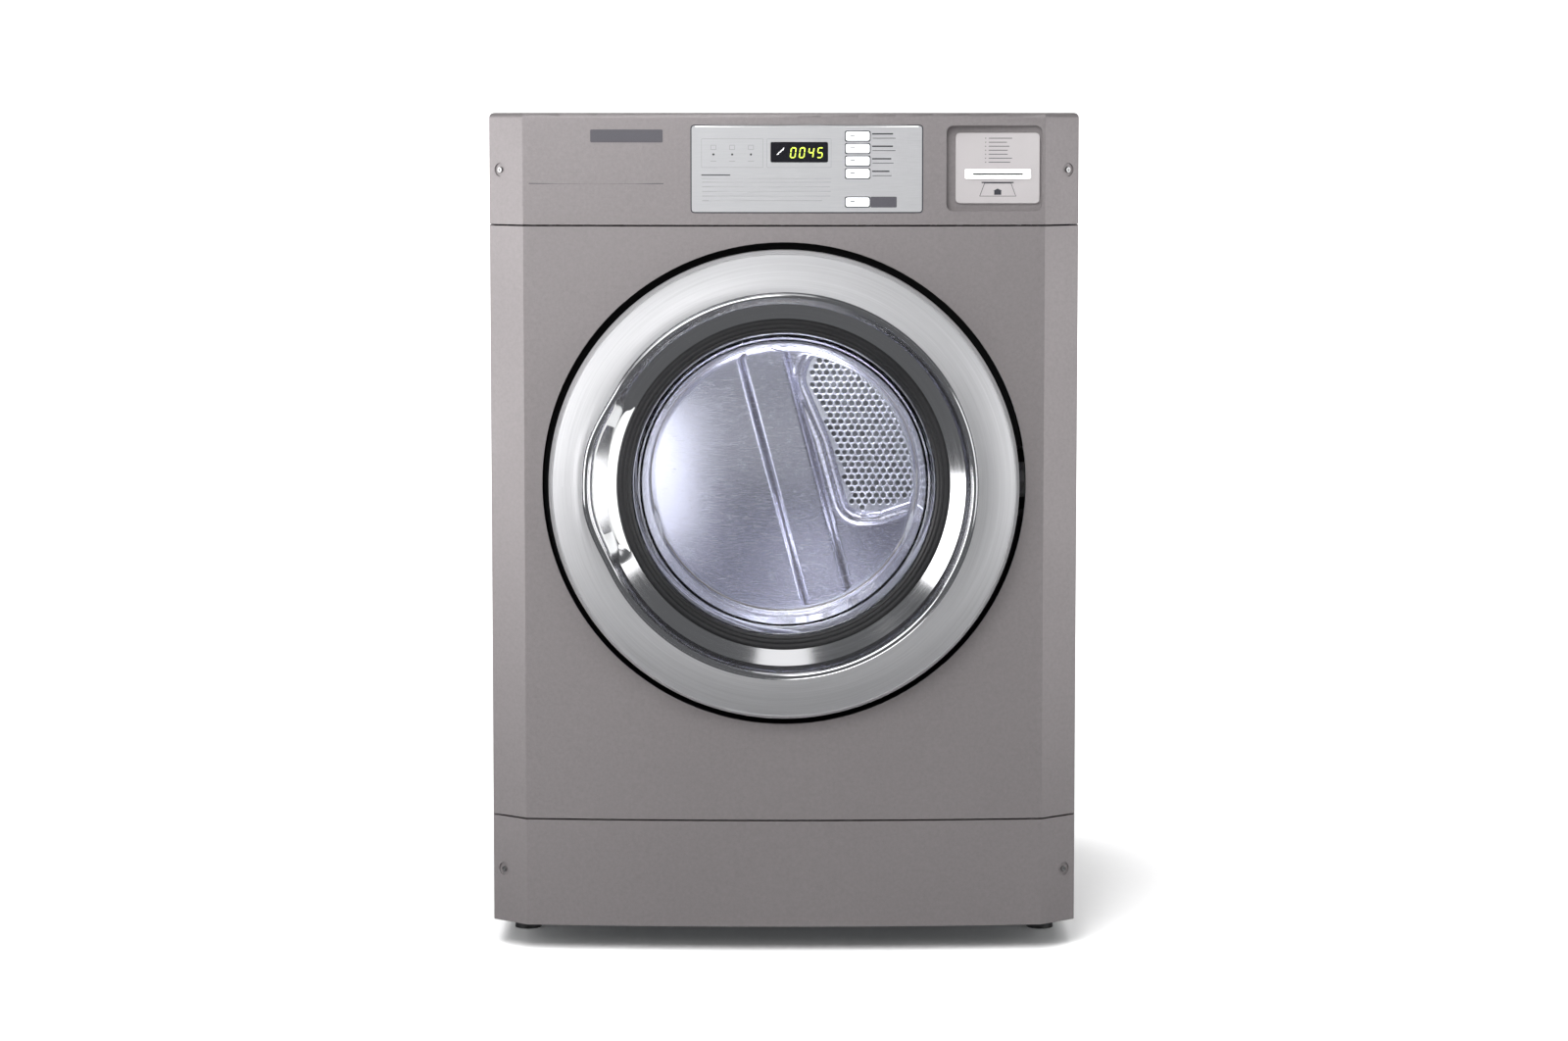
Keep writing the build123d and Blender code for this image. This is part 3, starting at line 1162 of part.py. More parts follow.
with BuildPart() as door_inner_bevel:
    with BuildSketch(turning(DOOR_Z)):
        with BuildLine():
            Polyline((LIP_R + 3, -375.8), (LIP_R, -377.8))
            ThreePointArc((LIP_R, -377.8), (207, -363), (BEVEL_R, BEVEL_BACK))
            Line((BEVEL_R, BEVEL_BACK), (BEVEL_R, BEVEL_BACK + 3))
            ThreePointArc((BEVEL_R, BEVEL_BACK + 3), (209, -360), (LIP_R + 3, -375.8))
        make_face()
    revolve(axis=y_axis(0, DOOR_Z), revolution_arc=360)
    add(handle_cut.part, mode=Mode.SUBTRACT)
write(door_inner_bevel.part, "door_inner_bevel")

with BuildPart() as door_handle:
    handle_sector(
        [
            (227.6, -349.5), (227.6, -379.5), (224, Y_DOOR), (218, -381), (214, -377.5),
            (214.5, -374), (218, -373), (222, -366), (224, -354), (BEVEL_R, -353), (BEVEL_R, -349.5),
        ]
    )
write(door_handle.part, "door_handle")

GLASS_FRONT = -352.0
BOWL_BACK = -290.0
GLASS_T = 4.0

with BuildPart() as door_glass:
    with BuildSketch(turning(DOOR_Z)):
        with BuildLine():
            Polyline(
                (0, BOWL_BACK), (0, BOWL_BACK - GLASS_T), (BOWL_R - 12, BOWL_BACK - GLASS_T),
            )
            ThreePointArc(
                (BOWL_R - 12, BOWL_BACK - GLASS_T), (BOWL_R - 3.5, BOWL_BACK - 7.5),
                (BOWL_R, BOWL_BACK - 16),
            )
            Polyline(
                (BOWL_R, BOWL_BACK - 16), (BOWL_R + 5, GLASS_FRONT + 10), (GLASS_R - 2, GLASS_FRONT),
                (GLASS_R + 6, GLASS_FRONT), (GLASS_R + 6, GLASS_FRONT + GLASS_T),
                (GLASS_R, GLASS_FRONT + GLASS_T), (BOWL_R + 9, GLASS_FRONT + 11),
                (BOWL_R + 4, BOWL_BACK - 16),
            )
            ThreePointArc(
                (BOWL_R + 4, BOWL_BACK - 16), (BOWL_R - 0.7, BOWL_BACK - 4.7), (BOWL_R - 12, BOWL_BACK),
            )
            Line((BOWL_R - 12, BOWL_BACK), (0, BOWL_BACK))
        make_face()
    revolve(axis=y_axis(0, DOOR_Z), revolution_arc=360)
write(door_glass.part, "door_glass")

with BuildPart() as glass_gasket:
    with BuildSketch(turning(DOOR_Z)):
        with BuildLine():
            Polyline((GLASS_R, GLASS_FRONT), (GLASS_R, -354), (GLASS_R + 2, -356))
            ThreePointArc((GLASS_R + 2, -356), (185, -357.5), (BEVEL_R - 2, -355.5))
            Polyline(
                (BEVEL_R - 2, -355.5), (BEVEL_R, -354), (BEVEL_R, -348), (GLASS_R + 6, -348),
                (GLASS_R + 6, GLASS_FRONT), (GLASS_R, GLASS_FRONT),
            )
        make_face()
    revolve(axis=y_axis(0, DOOR_Z), revolution_arc=360)
write(glass_gasket.part, "glass_gasket")

LINER_R = 262.0
LINER_BACK = -318.0
LINER_T = 3.0

with BuildPart() as door_liner:
    with BuildSketch(turning(DOOR_Z)):
        with BuildLine():
            Polyline(
                (LINER_R, RING_BACK), (LINER_R, -330), (245, LINER_BACK), (GLASS_R + 1, LINER_BACK),
                (GLASS_R + 1, -347.8), (BEVEL_R, -347.8), (BEVEL_R, -346), (GLASS_R + 4, -345),
                (GLASS_R + 4, LINER_BACK - LINER_T), (244, LINER_BACK - LINER_T),
                (LINER_R - LINER_T, -331.5), (LINER_R - LINER_T, RING_BACK), close=True,
            )
        make_face()
    revolve(axis=y_axis(0, DOOR_Z), revolution_arc=360)
    with BuildSketch(facing(RING_BACK, 0, DOOR_Z)):
        Circle(RING_R - 3)
        Circle(LINER_R - LINER_T, mode=Mode.SUBTRACT)
    extrude(amount=-2.5)
write(door_liner.part, "door_liner")

SEAL_R0 = 196.0
SEAL_R1 = 206.0

with BuildPart() as door_seal:
    with BuildSketch(turning(DOOR_Z)):
        with BuildLine():
            Polyline(
                (SEAL_R1, LINER_BACK), (SEAL_R1, -314), (SEAL_R1 - 2, PANEL_BACK - 0.6),
                (SEAL_R0 + 2, PANEL_BACK - 0.6), (SEAL_R0, -314), (SEAL_R0, LINER_BACK), close=True,
            )
        make_face()
    revolve(axis=y_axis(0, DOOR_Z), revolution_arc=360)
write(door_seal.part, "door_seal")

# gooseneck hinge: the arm hooks round the rim of the dish, so the pin stays in the cabinet
HOOK_R0 = 30.5
HOOK_R1 = 37.0
HOOK_FROM = 40.0
HOOK_TO = 170.0
LEG_HALF = 3.2
SLEEVE_R = 7.5
MOUNT_X0 = 212.0
MOUNT_X1 = 264.0
MOUNT_T = 3.0


def hook_point(radius, angle):
    """Point of the hinge plan at a radius and angle round the pin."""
    return HINGE_X + radius * cos(radians(angle)), HINGE_Y + radius * sin(radians(angle))


with BuildPart() as door_hinge_arm:
    for level in (-HINGE_ARM_Z, HINGE_ARM_Z):
        with BuildSketch(Plane.XY.offset(DOOR_Z + level - HINGE_ARM_H / 2)):
            with BuildLine():
                middle = (HOOK_FROM + HOOK_TO) / 2
                ThreePointArc(
                    hook_point(HOOK_R1, HOOK_FROM), hook_point(HOOK_R1, middle),
                    hook_point(HOOK_R1, HOOK_TO),
                )
                Line(hook_point(HOOK_R1, HOOK_TO), hook_point(HOOK_R0, HOOK_TO))
                ThreePointArc(
                    hook_point(HOOK_R0, HOOK_TO), hook_point(HOOK_R0, middle),
                    hook_point(HOOK_R0, HOOK_FROM),
                )
                Line(hook_point(HOOK_R0, HOOK_FROM), hook_point(HOOK_R1, HOOK_FROM))
            make_face()
            with Locations((HINGE_X, HINGE_Y)):
                Circle(SLEEVE_R)
            with Locations(Location((HINGE_X, HINGE_Y, 0), (0, 0, HOOK_FROM + 5))):
                with Locations((HOOK_R0 / 2 + 2, 0)):
                    Rectangle(HOOK_R0 + 4, 2 * LEG_HALF)
            with Locations((HINGE_X, HINGE_Y)):
                Circle(HINGE_PIN_R + RUNNING_FIT, mode=Mode.SUBTRACT)
        extrude(amount=HINGE_ARM_H)
    rect_prism(
        MOUNT_X0, MOUNT_X1, DOOR_Z - HINGE_ARM_Z - HINGE_ARM_H / 2, DOOR_Z + HINGE_ARM_Z + HINGE_ARM_H / 2,
        LINER_BACK, LINER_BACK + MOUNT_T, radius=3,
    )
write(door_hinge_arm.part, "door_hinge_arm")

EAR_IN = 43.0
EAR_OUT = 45.5
WEB_Y = -282.0
WEB_T = 2.0
EAR_X0 = 284.0
EAR_X1 = 308.0
EAR_FRONT = -333.0
BRACKET_X0 = 231.0
BRACKET_X1 = 239.0
BRACKET_OUT = 322.0

with BuildPart() as hinge_bracket:
    for ear in (DOOR_Z - EAR_OUT, DOOR_Z + EAR_IN):
        with BuildSketch(Plane.XY.offset(ear)):
            with BuildLine():
                Polyline(
                    (EAR_X0, EAR_FRONT), (EAR_X1, EAR_FRONT), (BRACKET_OUT, EAR_FRONT + 21),
                    (BRACKET_OUT, WEB_Y), (EAR_X0, WEB_Y), close=True,
                )
            make_face()
        extrude(amount=EAR_OUT - EAR_IN)
    rect_prism(
        BRACKET_X1 - WEB_T, BRACKET_OUT, DOOR_Z - EAR_OUT, DOOR_Z + EAR_OUT, WEB_Y, WEB_Y + WEB_T,
    )
    rect_prism(BRACKET_X1 - WEB_T, BRACKET_X1, DOOR_Z - EAR_OUT, DOOR_Z + EAR_OUT, PANEL_BACK, WEB_Y)
    rect_prism(BRACKET_X0, BRACKET_X1, DOOR_Z - EAR_OUT, DOOR_Z + EAR_OUT, PANEL_BACK, PANEL_BACK + WEB_T)
    with BuildSketch(Plane.XY.offset(DOOR_Z - EAR_OUT - 1)):
        with Locations((HINGE_X, HINGE_Y)):
            Circle(HINGE_PIN_R)
    extrude(amount=2 * EAR_OUT + 2, mode=Mode.SUBTRACT)
write(hinge_bracket.part, "hinge_bracket")

with BuildPart() as hinge_pin:
    with BuildSketch(Plane.XY.offset(DOOR_Z - EAR_OUT - 2)):
        with Locations((HINGE_X, HINGE_Y)):
            Circle(HINGE_PIN_R)
    extrude(amount=2 * EAR_OUT + 2)
    with BuildSketch(Plane.XY.offset(DOOR_Z + EAR_OUT)):
        with Locations((HINGE_X, HINGE_Y)):
            Circle(HINGE_PIN_R + 2)
    extrude(amount=2)
write(hinge_pin.part, "hinge_pin")

# latch: a strike on the door enters a catch behind the dish floor
STRIKE_T = 5.0
STRIKE_BACK = -296.0

with BuildPart() as door_strike:
    rect_prism(
        LATCH_X - 12, LATCH_X + 5, DOOR_Z - 20, DOOR_Z + 20, LINER_BACK, LINER_BACK + 2.5, radius=3,
    )
    rect_prism(
        LATCH_X - STRIKE_T / 2, LATCH_X + STRIKE_T / 2, DOOR_Z - STRIKE_H / 2, DOOR_Z + STRIKE_H / 2,
        LINER_BACK, STRIKE_BACK,
    )
    rect_prism(
        LATCH_X - STRIKE_T, LATCH_X + STRIKE_T, DOOR_Z - 7, DOOR_Z + 7, -306, -300,
        mode=Mode.SUBTRACT,
    )
write(door_strike.part, "door_strike")

with BuildPart() as latch_catch:
    rect_prism(LATCH_X - 16, LATCH_X + 16, DOOR_Z - 26, DOOR_Z + 26, TUNNEL_FRONT, -280, radius=3)
    rect_prism(
        LATCH_X - STRIKE_W, LATCH_X + STRIKE_W, DOOR_Z - STRIKE_H / 2 - 3, DOOR_Z + STRIKE_H / 2 + 3,
        PANEL_BACK - 1, -290, mode=Mode.SUBTRACT,
    )
write(latch_catch.part, "latch_catch")

# door switch: its plunger is held down by the closed door and still has some overtravel
with BuildPart() as door_switch:
    rect_prism(switch_x - 9, switch_x + 9, switch_z - 14, switch_z + 14, TUNNEL_FRONT, -282, radius=2)
    tube(switch_x, switch_z, PLUNGER_R + RUNNING_FIT, PANEL_BACK - 1, -290, mode=Mode.SUBTRACT)
write(door_switch.part, "door_switch")

with BuildPart() as door_switch_plunger:
    tube(switch_x, switch_z, PLUNGER_R, LINER_BACK + 0.4, -293)
    fillet(door_switch_plunger.edges().filter_by(GeomType.CIRCLE).sort_by(Axis.Y)[0], radius=1.5)
write(door_switch_plunger.part, "door_switch_plunger")

# ---------------------------------------------------------------- cabinet screws, front and rear
REAR_SCREW_R = 5.0
REAR_SCREW_H = 4.0
REAR_SCREW_ZS = (60.0, 350.0, 650.0, 950.0)
REAR_SCREW_X = REAR_HALF_W - 15.0
HEAD_R = 3.7
HEAD_H = 2.4
HEAD_TAPER = 18.0
SHANK_R = 2.0
SHANK_END = BOSS_DEPTH + 6.0
SOCKET_R = 1.9
SOCKET_DEPTH = 1.0
POST_R = 0.6
POST_H = 0.6

with BuildPart() as cabinet_screws:
    for screw_z in (SCREW_Z_HIGH, SCREW_Z_LOW):
        for side in (-1, 1):
            with BuildSketch(facet_plane(side, screw_z, DIMPLE_DEPTH)):
                Circle(HEAD_R)
            extrude(amount=HEAD_H, taper=HEAD_TAPER)
            with BuildSketch(facet_plane(side, screw_z, SHANK_END)):
                Circle(SHANK_R)
            extrude(amount=SHANK_END - DIMPLE_DEPTH)
            with BuildSketch(facet_plane(side, screw_z, DIMPLE_DEPTH - HEAD_H + SOCKET_DEPTH)):
                RegularPolygon(SOCKET_R, 6)
            extrude(amount=SOCKET_DEPTH + 0.2, mode=Mode.SUBTRACT)
            with BuildSketch(facet_plane(side, screw_z, DIMPLE_DEPTH - HEAD_H + SOCKET_DEPTH + 0.6)):
                Circle(POST_R)
            extrude(amount=POST_H + 0.6)
    with BuildSketch(facing(Y_REAR)):
        with Locations(*[(x, z) for x in (-REAR_SCREW_X, REAR_SCREW_X) for z in REAR_SCREW_ZS]):
            RegularPolygon(REAR_SCREW_R, 6)
    extrude(amount=-REAR_SCREW_H)
write(cabinet_screws.part, "cabinet_screws")
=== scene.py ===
"""Commercial tumble dryer: the looks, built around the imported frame.

The scene, the lamps and the camera are in metres. Profiles, outlines and printed marks are in millimetres and
are scaled by MM where they become vertices.
"""
from math import atan, cos, hypot, pi, radians, sin, tan

import bmesh
import bpy
import numpy as np
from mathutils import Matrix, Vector


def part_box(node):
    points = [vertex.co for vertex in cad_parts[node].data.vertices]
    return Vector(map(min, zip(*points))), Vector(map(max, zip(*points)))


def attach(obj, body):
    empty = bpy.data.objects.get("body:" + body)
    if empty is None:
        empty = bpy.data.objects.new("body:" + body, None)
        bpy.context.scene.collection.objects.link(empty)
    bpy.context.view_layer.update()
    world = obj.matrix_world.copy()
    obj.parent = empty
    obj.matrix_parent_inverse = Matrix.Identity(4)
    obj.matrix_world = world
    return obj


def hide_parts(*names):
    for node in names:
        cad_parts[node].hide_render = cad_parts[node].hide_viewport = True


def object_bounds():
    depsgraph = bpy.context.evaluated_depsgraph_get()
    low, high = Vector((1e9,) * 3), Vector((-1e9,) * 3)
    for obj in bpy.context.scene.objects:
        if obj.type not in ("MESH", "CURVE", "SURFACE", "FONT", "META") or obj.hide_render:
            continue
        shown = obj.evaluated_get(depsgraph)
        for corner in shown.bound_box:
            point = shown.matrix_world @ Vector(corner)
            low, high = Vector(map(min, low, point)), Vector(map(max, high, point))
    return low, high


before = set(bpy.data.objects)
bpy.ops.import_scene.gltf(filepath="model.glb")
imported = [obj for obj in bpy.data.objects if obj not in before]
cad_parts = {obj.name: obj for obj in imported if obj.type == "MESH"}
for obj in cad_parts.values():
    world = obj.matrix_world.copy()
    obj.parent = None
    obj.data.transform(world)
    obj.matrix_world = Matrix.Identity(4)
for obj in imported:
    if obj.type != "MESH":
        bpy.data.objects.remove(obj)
cad_low, cad_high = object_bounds()
MM = 0.001
FULL_TURN = 2 * pi


def middle(node):
    low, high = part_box(node)
    return (low + high) / 2


# ---- places read from the frame ---------------------------------------------------------------

door_low, door_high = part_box("door_outer_ring")
DOOR_X = (door_low.x + door_high.x) / 2
DOOR_Z = (door_low.z + door_high.z) / 2
FRONT_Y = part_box("front_panel")[0].y
HEIGHT = cad_high.z - cad_low.z


# ---- material helpers -------------------------------------------------------------------------

NOISE_LOW, NOISE_HIGH = 0.25, 0.75  # the share of a noise's range that is spread over the full effect


class Finish:
    """A node material around one Principled shader. Shader values that don't vary sit on its own sockets."""

    def __init__(self, name, color, roughness, metallic=0.0, **shader_values):
        self.material = bpy.data.materials.new(name)
        self.material.use_nodes = True
        self.material.diffuse_color = (*color, 1)
        self.tree = self.material.node_tree
        self.shader = self.tree.nodes["Principled BSDF"]
        self.place = self.node("TexCoord").outputs["Object"]
        self.shader.inputs["Base Color"].default_value = (*color, 1)
        self.shader.inputs["Roughness"].default_value = roughness
        self.shader.inputs["Metallic"].default_value = metallic
        self.color = color
        self.roughness = roughness
        for socket, value in shader_values.items():
            self.shader.inputs[socket.replace("_", " ")].default_value = value

    def node(self, kind, inputs=None, **settings):
        made = self.tree.nodes.new("ShaderNode" + kind)
        for name, value in settings.items():
            setattr(made, name, value)
        for socket, value in (inputs or {}).items():
            if isinstance(value, bpy.types.NodeSocket):
                self.tree.links.new(value, made.inputs[socket])
            else:
                made.inputs[socket].default_value = value
        return made

    def math(self, operation, a, b=0.0, c=0.0):
        return self.node("Math", {0: a, 1: b, 2: c}, operation=operation).outputs[0]

    def stretched(self, x, y, z):
        """The object's coordinates, scaled unevenly: grain runs along the axis with the least scale."""
        return self.node("Mapping", {"Vector": self.place, "Scale": (x, y, z)}).outputs[0]

    def noise(self, scale, detail=3.0, place=None, rough=0.55):
        settings = {"Vector": place or self.place, "Scale": scale, "Detail": detail, "Roughness": rough}
        return self.node("TexNoise", settings).outputs["Fac"]

    def between(self, value, low, high):
        settings = {"Value": value, "From Min": NOISE_LOW, "From Max": NOISE_HIGH,
                    "To Min": low, "To Max": high}
        return self.node("MapRange", settings).outputs[0]

    def blend(self, factor, a, b):
        return self.node("MixRGB", {"Fac": factor, "Color1": a, "Color2": b}).outputs[0]

    def tint(self, value, amount):
        """Colour from darker to lighter than the finish's own by this share, as value rises."""
        dark = (*[channel * (1 - amount) for channel in self.color], 1)
        light = (*[min(1, channel * (1 + amount)) for channel in self.color], 1)
        mixed = self.blend(self.between(value, 0, 1), dark, light)
        self.color_from(mixed)
        return mixed

    def color_from(self, socket):
        self.tree.links.new(socket, self.shader.inputs["Base Color"])

    def roughen(self, value, amount):
        spread = self.between(value, self.roughness - amount, self.roughness + amount)
        self.tree.links.new(spread, self.shader.inputs["Roughness"])

    def bump(self, value, depth, strength=1.0):
        made = self.node("Bump", {"Height": value, "Distance": depth, "Strength": strength})
        self.tree.links.new(made.outputs[0], self.shader.inputs["Normal"])

    def door_place(self):
        """Offsets from the door's axis across and up, distance from it, and depth."""
        split = self.node("SeparateXYZ", {0: self.place})
        x = self.math("SUBTRACT", split.outputs[0], DOOR_X)
        z = self.math("SUBTRACT", split.outputs[2], DOOR_Z)
        radius = self.math("SQRT", self.math("ADD", self.math("MULTIPLY", x, x), self.math("MULTIPLY", z, z)))
        return x, z, radius, split.outputs[1]

    def ring_place(self, across, along):
        """Coordinates that run round the door's axis: radius times across, angle times along."""
        x, z, radius, depth = self.door_place()
        turn = self.math("ARCTAN2", z, x)
        parts = {0: self.math("MULTIPLY", radius, across), 1: self.math("MULTIPLY", turn, along),
                 2: self.math("MULTIPLY", depth, across)}
        return self.node("CombineXYZ", parts).outputs[0]


def grained(name, color, roughness, metallic=0.0, grain=700, tint=0.1, depth=0.05, rough_by=0.06,
            stretch=(1, 1, 1), **shader_values):
    """A finish whose colour, roughness and height follow one fine grain over one broad cloud."""
    made = Finish(name, color, roughness, metallic, **shader_values)
    place = made.stretched(*stretch)
    fine = made.noise(grain, place=place)
    cloud = made.noise(7, 2)
    made.tint(made.math("MULTIPLY_ADD", fine, 0.6, made.math("MULTIPLY", cloud, 0.4)), tint)
    made.roughen(cloud, rough_by)
    made.bump(fine, depth * MM)
    return made


# painted shade: the dish behind the door is coloured near black from its rim inward and backward, in place of
# the deep shade in the gap round the door
DISH_R = 0.2812
DISH_Y = -0.3475
DISH_PAINTED_SHADE = (0.008, 0.008, 0.009, 1)


def body_paint():
    """Silver-taupe metallic paint: a coarse and a fine flake, under a soft orange-peel surface; inside the
    door's dish the colour turns to near-black painted shade.
    """
    made = Finish("body_paint_metallic_with_dish_shade", (0.235, 0.217, 0.22), 0.42, 0.6)
    flake = made.noise(1500, 1, rough=0.9)
    mottle = made.noise(260, 3)
    cloud = made.noise(5, 2)
    speckle = made.math("MULTIPLY_ADD", flake, 0.55, made.math("MULTIPLY", mottle, 0.45))
    paint = made.tint(speckle, 0.13)
    # painted shade: near black inside the door's dish, standing in for the shade of the gap round the door
    _, _, radius, depth = made.door_place()
    near_axis = made.math("LESS_THAN", radius, DISH_R)
    behind_face = made.math("GREATER_THAN", depth, DISH_Y)
    in_dish_painted_shade = made.math("MULTIPLY", near_axis, behind_face)
    made.color_from(made.blend(in_dish_painted_shade, paint, DISH_PAINTED_SHADE))
    made.roughen(cloud, 0.05)
    made.bump(mottle, 0.02 * MM)
    return made


def radial_brushed():
    """Steel brushed in circles round the door's axis."""
    made = Finish("door_brushed_steel", (0.56, 0.56, 0.575), 0.42, 0.8, Anisotropic=0.5)
    tangent = made.node("Tangent", direction_type="RADIAL", axis="Y")
    made.tree.links.new(tangent.outputs[0], made.shader.inputs["Tangent"])
    lines = made.noise(1, 4, made.ring_place(2600, 3), 0.75)
    broad = made.noise(1, 2, made.ring_place(500, 1.2), 0.6)
    made.tint(made.math("MULTIPLY_ADD", lines, 0.6, made.math("MULTIPLY", broad, 0.4)), 0.16)
    made.roughen(lines, 0.07)
    made.bump(lines, 0.02 * MM)
    return made


def chrome():
    made = Finish("door_chrome_bright", (0.84, 0.84, 0.86), 0.11, 1.0)
    haze = made.noise(1, 3, made.ring_place(300, 2))
    made.tint(haze, 0.03)
    made.roughen(haze, 0.03)
    made.bump(made.noise(60, 2), 0.01 * MM)
    return made


def galvanised():
    """Zinc-coated sheet: crystal spangle in grey steps."""
    made = Finish("galvanised_spangle", (0.50, 0.51, 0.52), 0.42, 0.85)
    crystals = made.node("TexVoronoi", {"Vector": made.place, "Scale": 95.0, "Randomness": 1.0})
    grey = made.node("RGBToBW", {0: crystals.outputs["Color"]}).outputs[0]
    made.tint(grey, 0.14)
    made.roughen(grey, 0.09)
    made.bump(made.noise(500, 2), 0.03 * MM)
    return made


def overlay_silver():
    """Printed aluminium foil with a faint level grain."""
    made = Finish("overlay_brushed_silver", (0.31, 0.312, 0.32), 0.42, 0.35)
    lines = made.noise(1, 3, made.stretched(28, 900, 1500), 0.7)
    made.tint(lines, 0.06)
    made.roughen(lines, 0.05)
    made.bump(lines, 0.01 * MM)
    return made


def drum_steel():
    """Polished stainless sheet with a faint cool cast and long soft waves."""
    made = Finish("drum_polished_steel", (0.66, 0.66, 0.73), 0.25, 1.0)
    scratches = made.noise(1, 4, made.stretched(90, 400, 900), 0.6)
    waves = made.noise(9, 1)
    made.tint(scratches, 0.05)
    made.roughen(scratches, 0.05)
    made.bump(waves, 1.2 * MM, 0.5)
    return made


def felt():
    made = Finish("seal_felt", (0.32, 0.30, 0.27), 0.95, 0.0, Sheen_Weight=0.5)
    fibres = made.noise(900, 5, rough=0.8)
    made.tint(fibres, 0.3)
    made.bump(fibres, 0.4 * MM)
    return made


def circuit_board():
    """Green solder mask with lighter tracks."""
    made = Finish("circuit_board_mask", (0.03, 0.16, 0.07), 0.35, 0.0)
    tracks = made.node("TexBrick", {"Vector": made.stretched(1, 1, 1), "Scale": 90.0, "Mortar Size": 0.03,
                                    "Color1": (0.03, 0.15, 0.06, 1), "Color2": (0.02, 0.11, 0.05, 1),
                                    "Mortar": (0.10, 0.30, 0.12, 1)})
    made.color_from(tracks.outputs["Color"])
    made.roughen(made.noise(300), 0.08)
    made.bump(tracks.outputs["Fac"], 0.05 * MM)
    return made


def clear_glass():
    made = Finish("door_clear_glass", (0.97, 0.98, 1.0), 0.02, 0.0, Transmission_Weight=1.0, IOR=1.5)
    smear = made.noise(30, 3)
    made.roughen(smear, 0.012)
    made.bump(made.noise(14, 1), 0.05 * MM)
    return made


finishes = {
    "body_paint": body_paint(),
    "galvanised": galvanised(),
    "overlay_silver": overlay_silver(),
    "display_lens": grained("display_lens_black", (0.006, 0.006, 0.008), 0.12, grain=300, tint=0.3,
                            depth=0.01, rough_by=0.03, Coat_Weight=0.4),
    "circuit_board": circuit_board(),
    "reader_silver": grained("reader_plate_silver", (0.345, 0.328, 0.332), 0.42, 0.3, grain=1300, tint=0.05,
                             depth=0.02),
    "white_plastic": grained("white_moulded_plastic", (0.86, 0.86, 0.85), 0.35, grain=800, tint=0.03,
                             depth=0.02),
    "black_plastic": grained("black_moulded_plastic", (0.012, 0.012, 0.013), 0.42, grain=900, tint=0.3),
    "grey_plastic": grained("grey_moulded_plastic", (0.23, 0.235, 0.24), 0.5, grain=600, tint=0.12),
    "lifter_plastic": grained("lifter_pale_plastic", (0.55, 0.56, 0.58), 0.4, grain=500, tint=0.08),
    "filter_plastic": grained("filter_blue_grey_plastic", (0.20, 0.24, 0.30), 0.45, grain=500, tint=0.12),
    "screw_steel": grained("turned_screw_steel", (0.62, 0.62, 0.62), 0.25, 1.0, grain=900, tint=0.12,
                           stretch=(1, 0.2, 1)),
    "black_rubber": grained("black_rubber_moulded", (0.014, 0.014, 0.015), 0.38, grain=500, tint=0.35,
                            depth=0.04),
    "roller_rubber": grained("roller_grey_rubber", (0.06, 0.06, 0.065), 0.7, grain=700, tint=0.25,
                             depth=0.08),
    "felt": felt(),
    "drum_steel": drum_steel(),
    "element_metal": grained("element_oxidised_metal", (0.22, 0.19, 0.17), 0.5, 0.8, grain=300, tint=0.3),
    "motor_iron": grained("motor_cast_iron_paint", (0.09, 0.10, 0.11), 0.55, 0.3, grain=350, tint=0.2,
                          depth=0.2),
    "door_brushed": radial_brushed(),
    "door_chrome": chrome(),
    "door_glass": clear_glass(),
    # painted shade: the hinge is coloured near black so that it reads as the dark shaded gap round the door
    "hinge_black": grained("hinge_near_black_painted_shade", (0.004, 0.004, 0.0045), 0.7, 0.0, grain=900, tint=0.3),
    "button_white": grained("button_white_rubber", (0.80, 0.82, 0.84), 0.38, grain=700, tint=0.03,
                            depth=0.02),
}
net_steel = grained("air_inlet_bright_steel", (0.92, 0.93, 0.99), 0.26, 0.8, grain=600, tint=0.05, depth=0.01)
pull_chrome = grained("door_pull_soft_chrome", (0.84, 0.84, 0.86), 0.19, 1.0, grain=200, tint=0.02,
                      depth=0.01)
pad_plastic = grained("pull_insert_pale", (0.74, 0.75, 0.74), 0.32, 0.25, grain=900, tint=0.04, depth=0.02)
ink = grained("print_ink_dark", (0.022, 0.022, 0.028), 0.5, grain=900, tint=0.2, depth=0.005)
grey_ink = grained("print_ink_grey", (0.20, 0.20, 0.21), 0.5, grain=900, tint=0.1, depth=0.005)
plate_ink = grained("label_plate_dark", (0.05, 0.048, 0.056), 0.35, grain=900, tint=0.15, depth=0.01)
glow = grained("display_glow_yellow_green", (0.45, 0.60, 0.06), 0.4, grain=300, tint=0.05, depth=0.005,
               Emission_Color=(0.55, 0.80, 0.06, 1), Emission_Strength=1.1)
paper = grained("floor_paper_white", (0.90, 0.90, 0.90), 0.8, grain=40, tint=0.01, depth=0.05)

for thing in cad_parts.values():
    slot = thing.data.materials[0].name
    thing.data.materials[0] = finishes[slot].material

# ---- mesh helpers -----------------------------------------------------------------------------

MOST_REACH = 0.49  # of the shorter side at a corner, so that two roundings never meet
MERGE_DISTANCE = 1e-7


def corner_arc(before, corner, after, radius, steps):
    """Points of the curve that rounds a corner."""
    a = (before - corner).normalized()
    b = (after - corner).normalized()
    opening = a.angle(b)
    reach = min(radius / tan(opening / 2), (before - corner).length * MOST_REACH,
                (after - corner).length * MOST_REACH)
    start, end = corner + a * reach, corner + b * reach
    points = []
    for i in range(steps + 1):
        t = i / steps
        points.append(start * (1 - t) ** 2 + corner * 2 * t * (1 - t) + end * t ** 2)
    return points


def rounded(points, steps=6, closed=True):
    """An outline with rounded corners, from (across, along, corner radius) points."""
    places = [Vector(point[:2]) for point in points]
    outline = []
    for i, (place, point) in enumerate(zip(places, points)):
        at_end = not closed and i in (0, len(points) - 1)
        if at_end or len(point) < 3 or point[2] == 0:
            outline.append(place)
            continue
        after = places[(i + 1) % len(places)]
        outline += corner_arc(places[i - 1], place, after, point[2], steps)
    return [tuple(point) for point in outline]


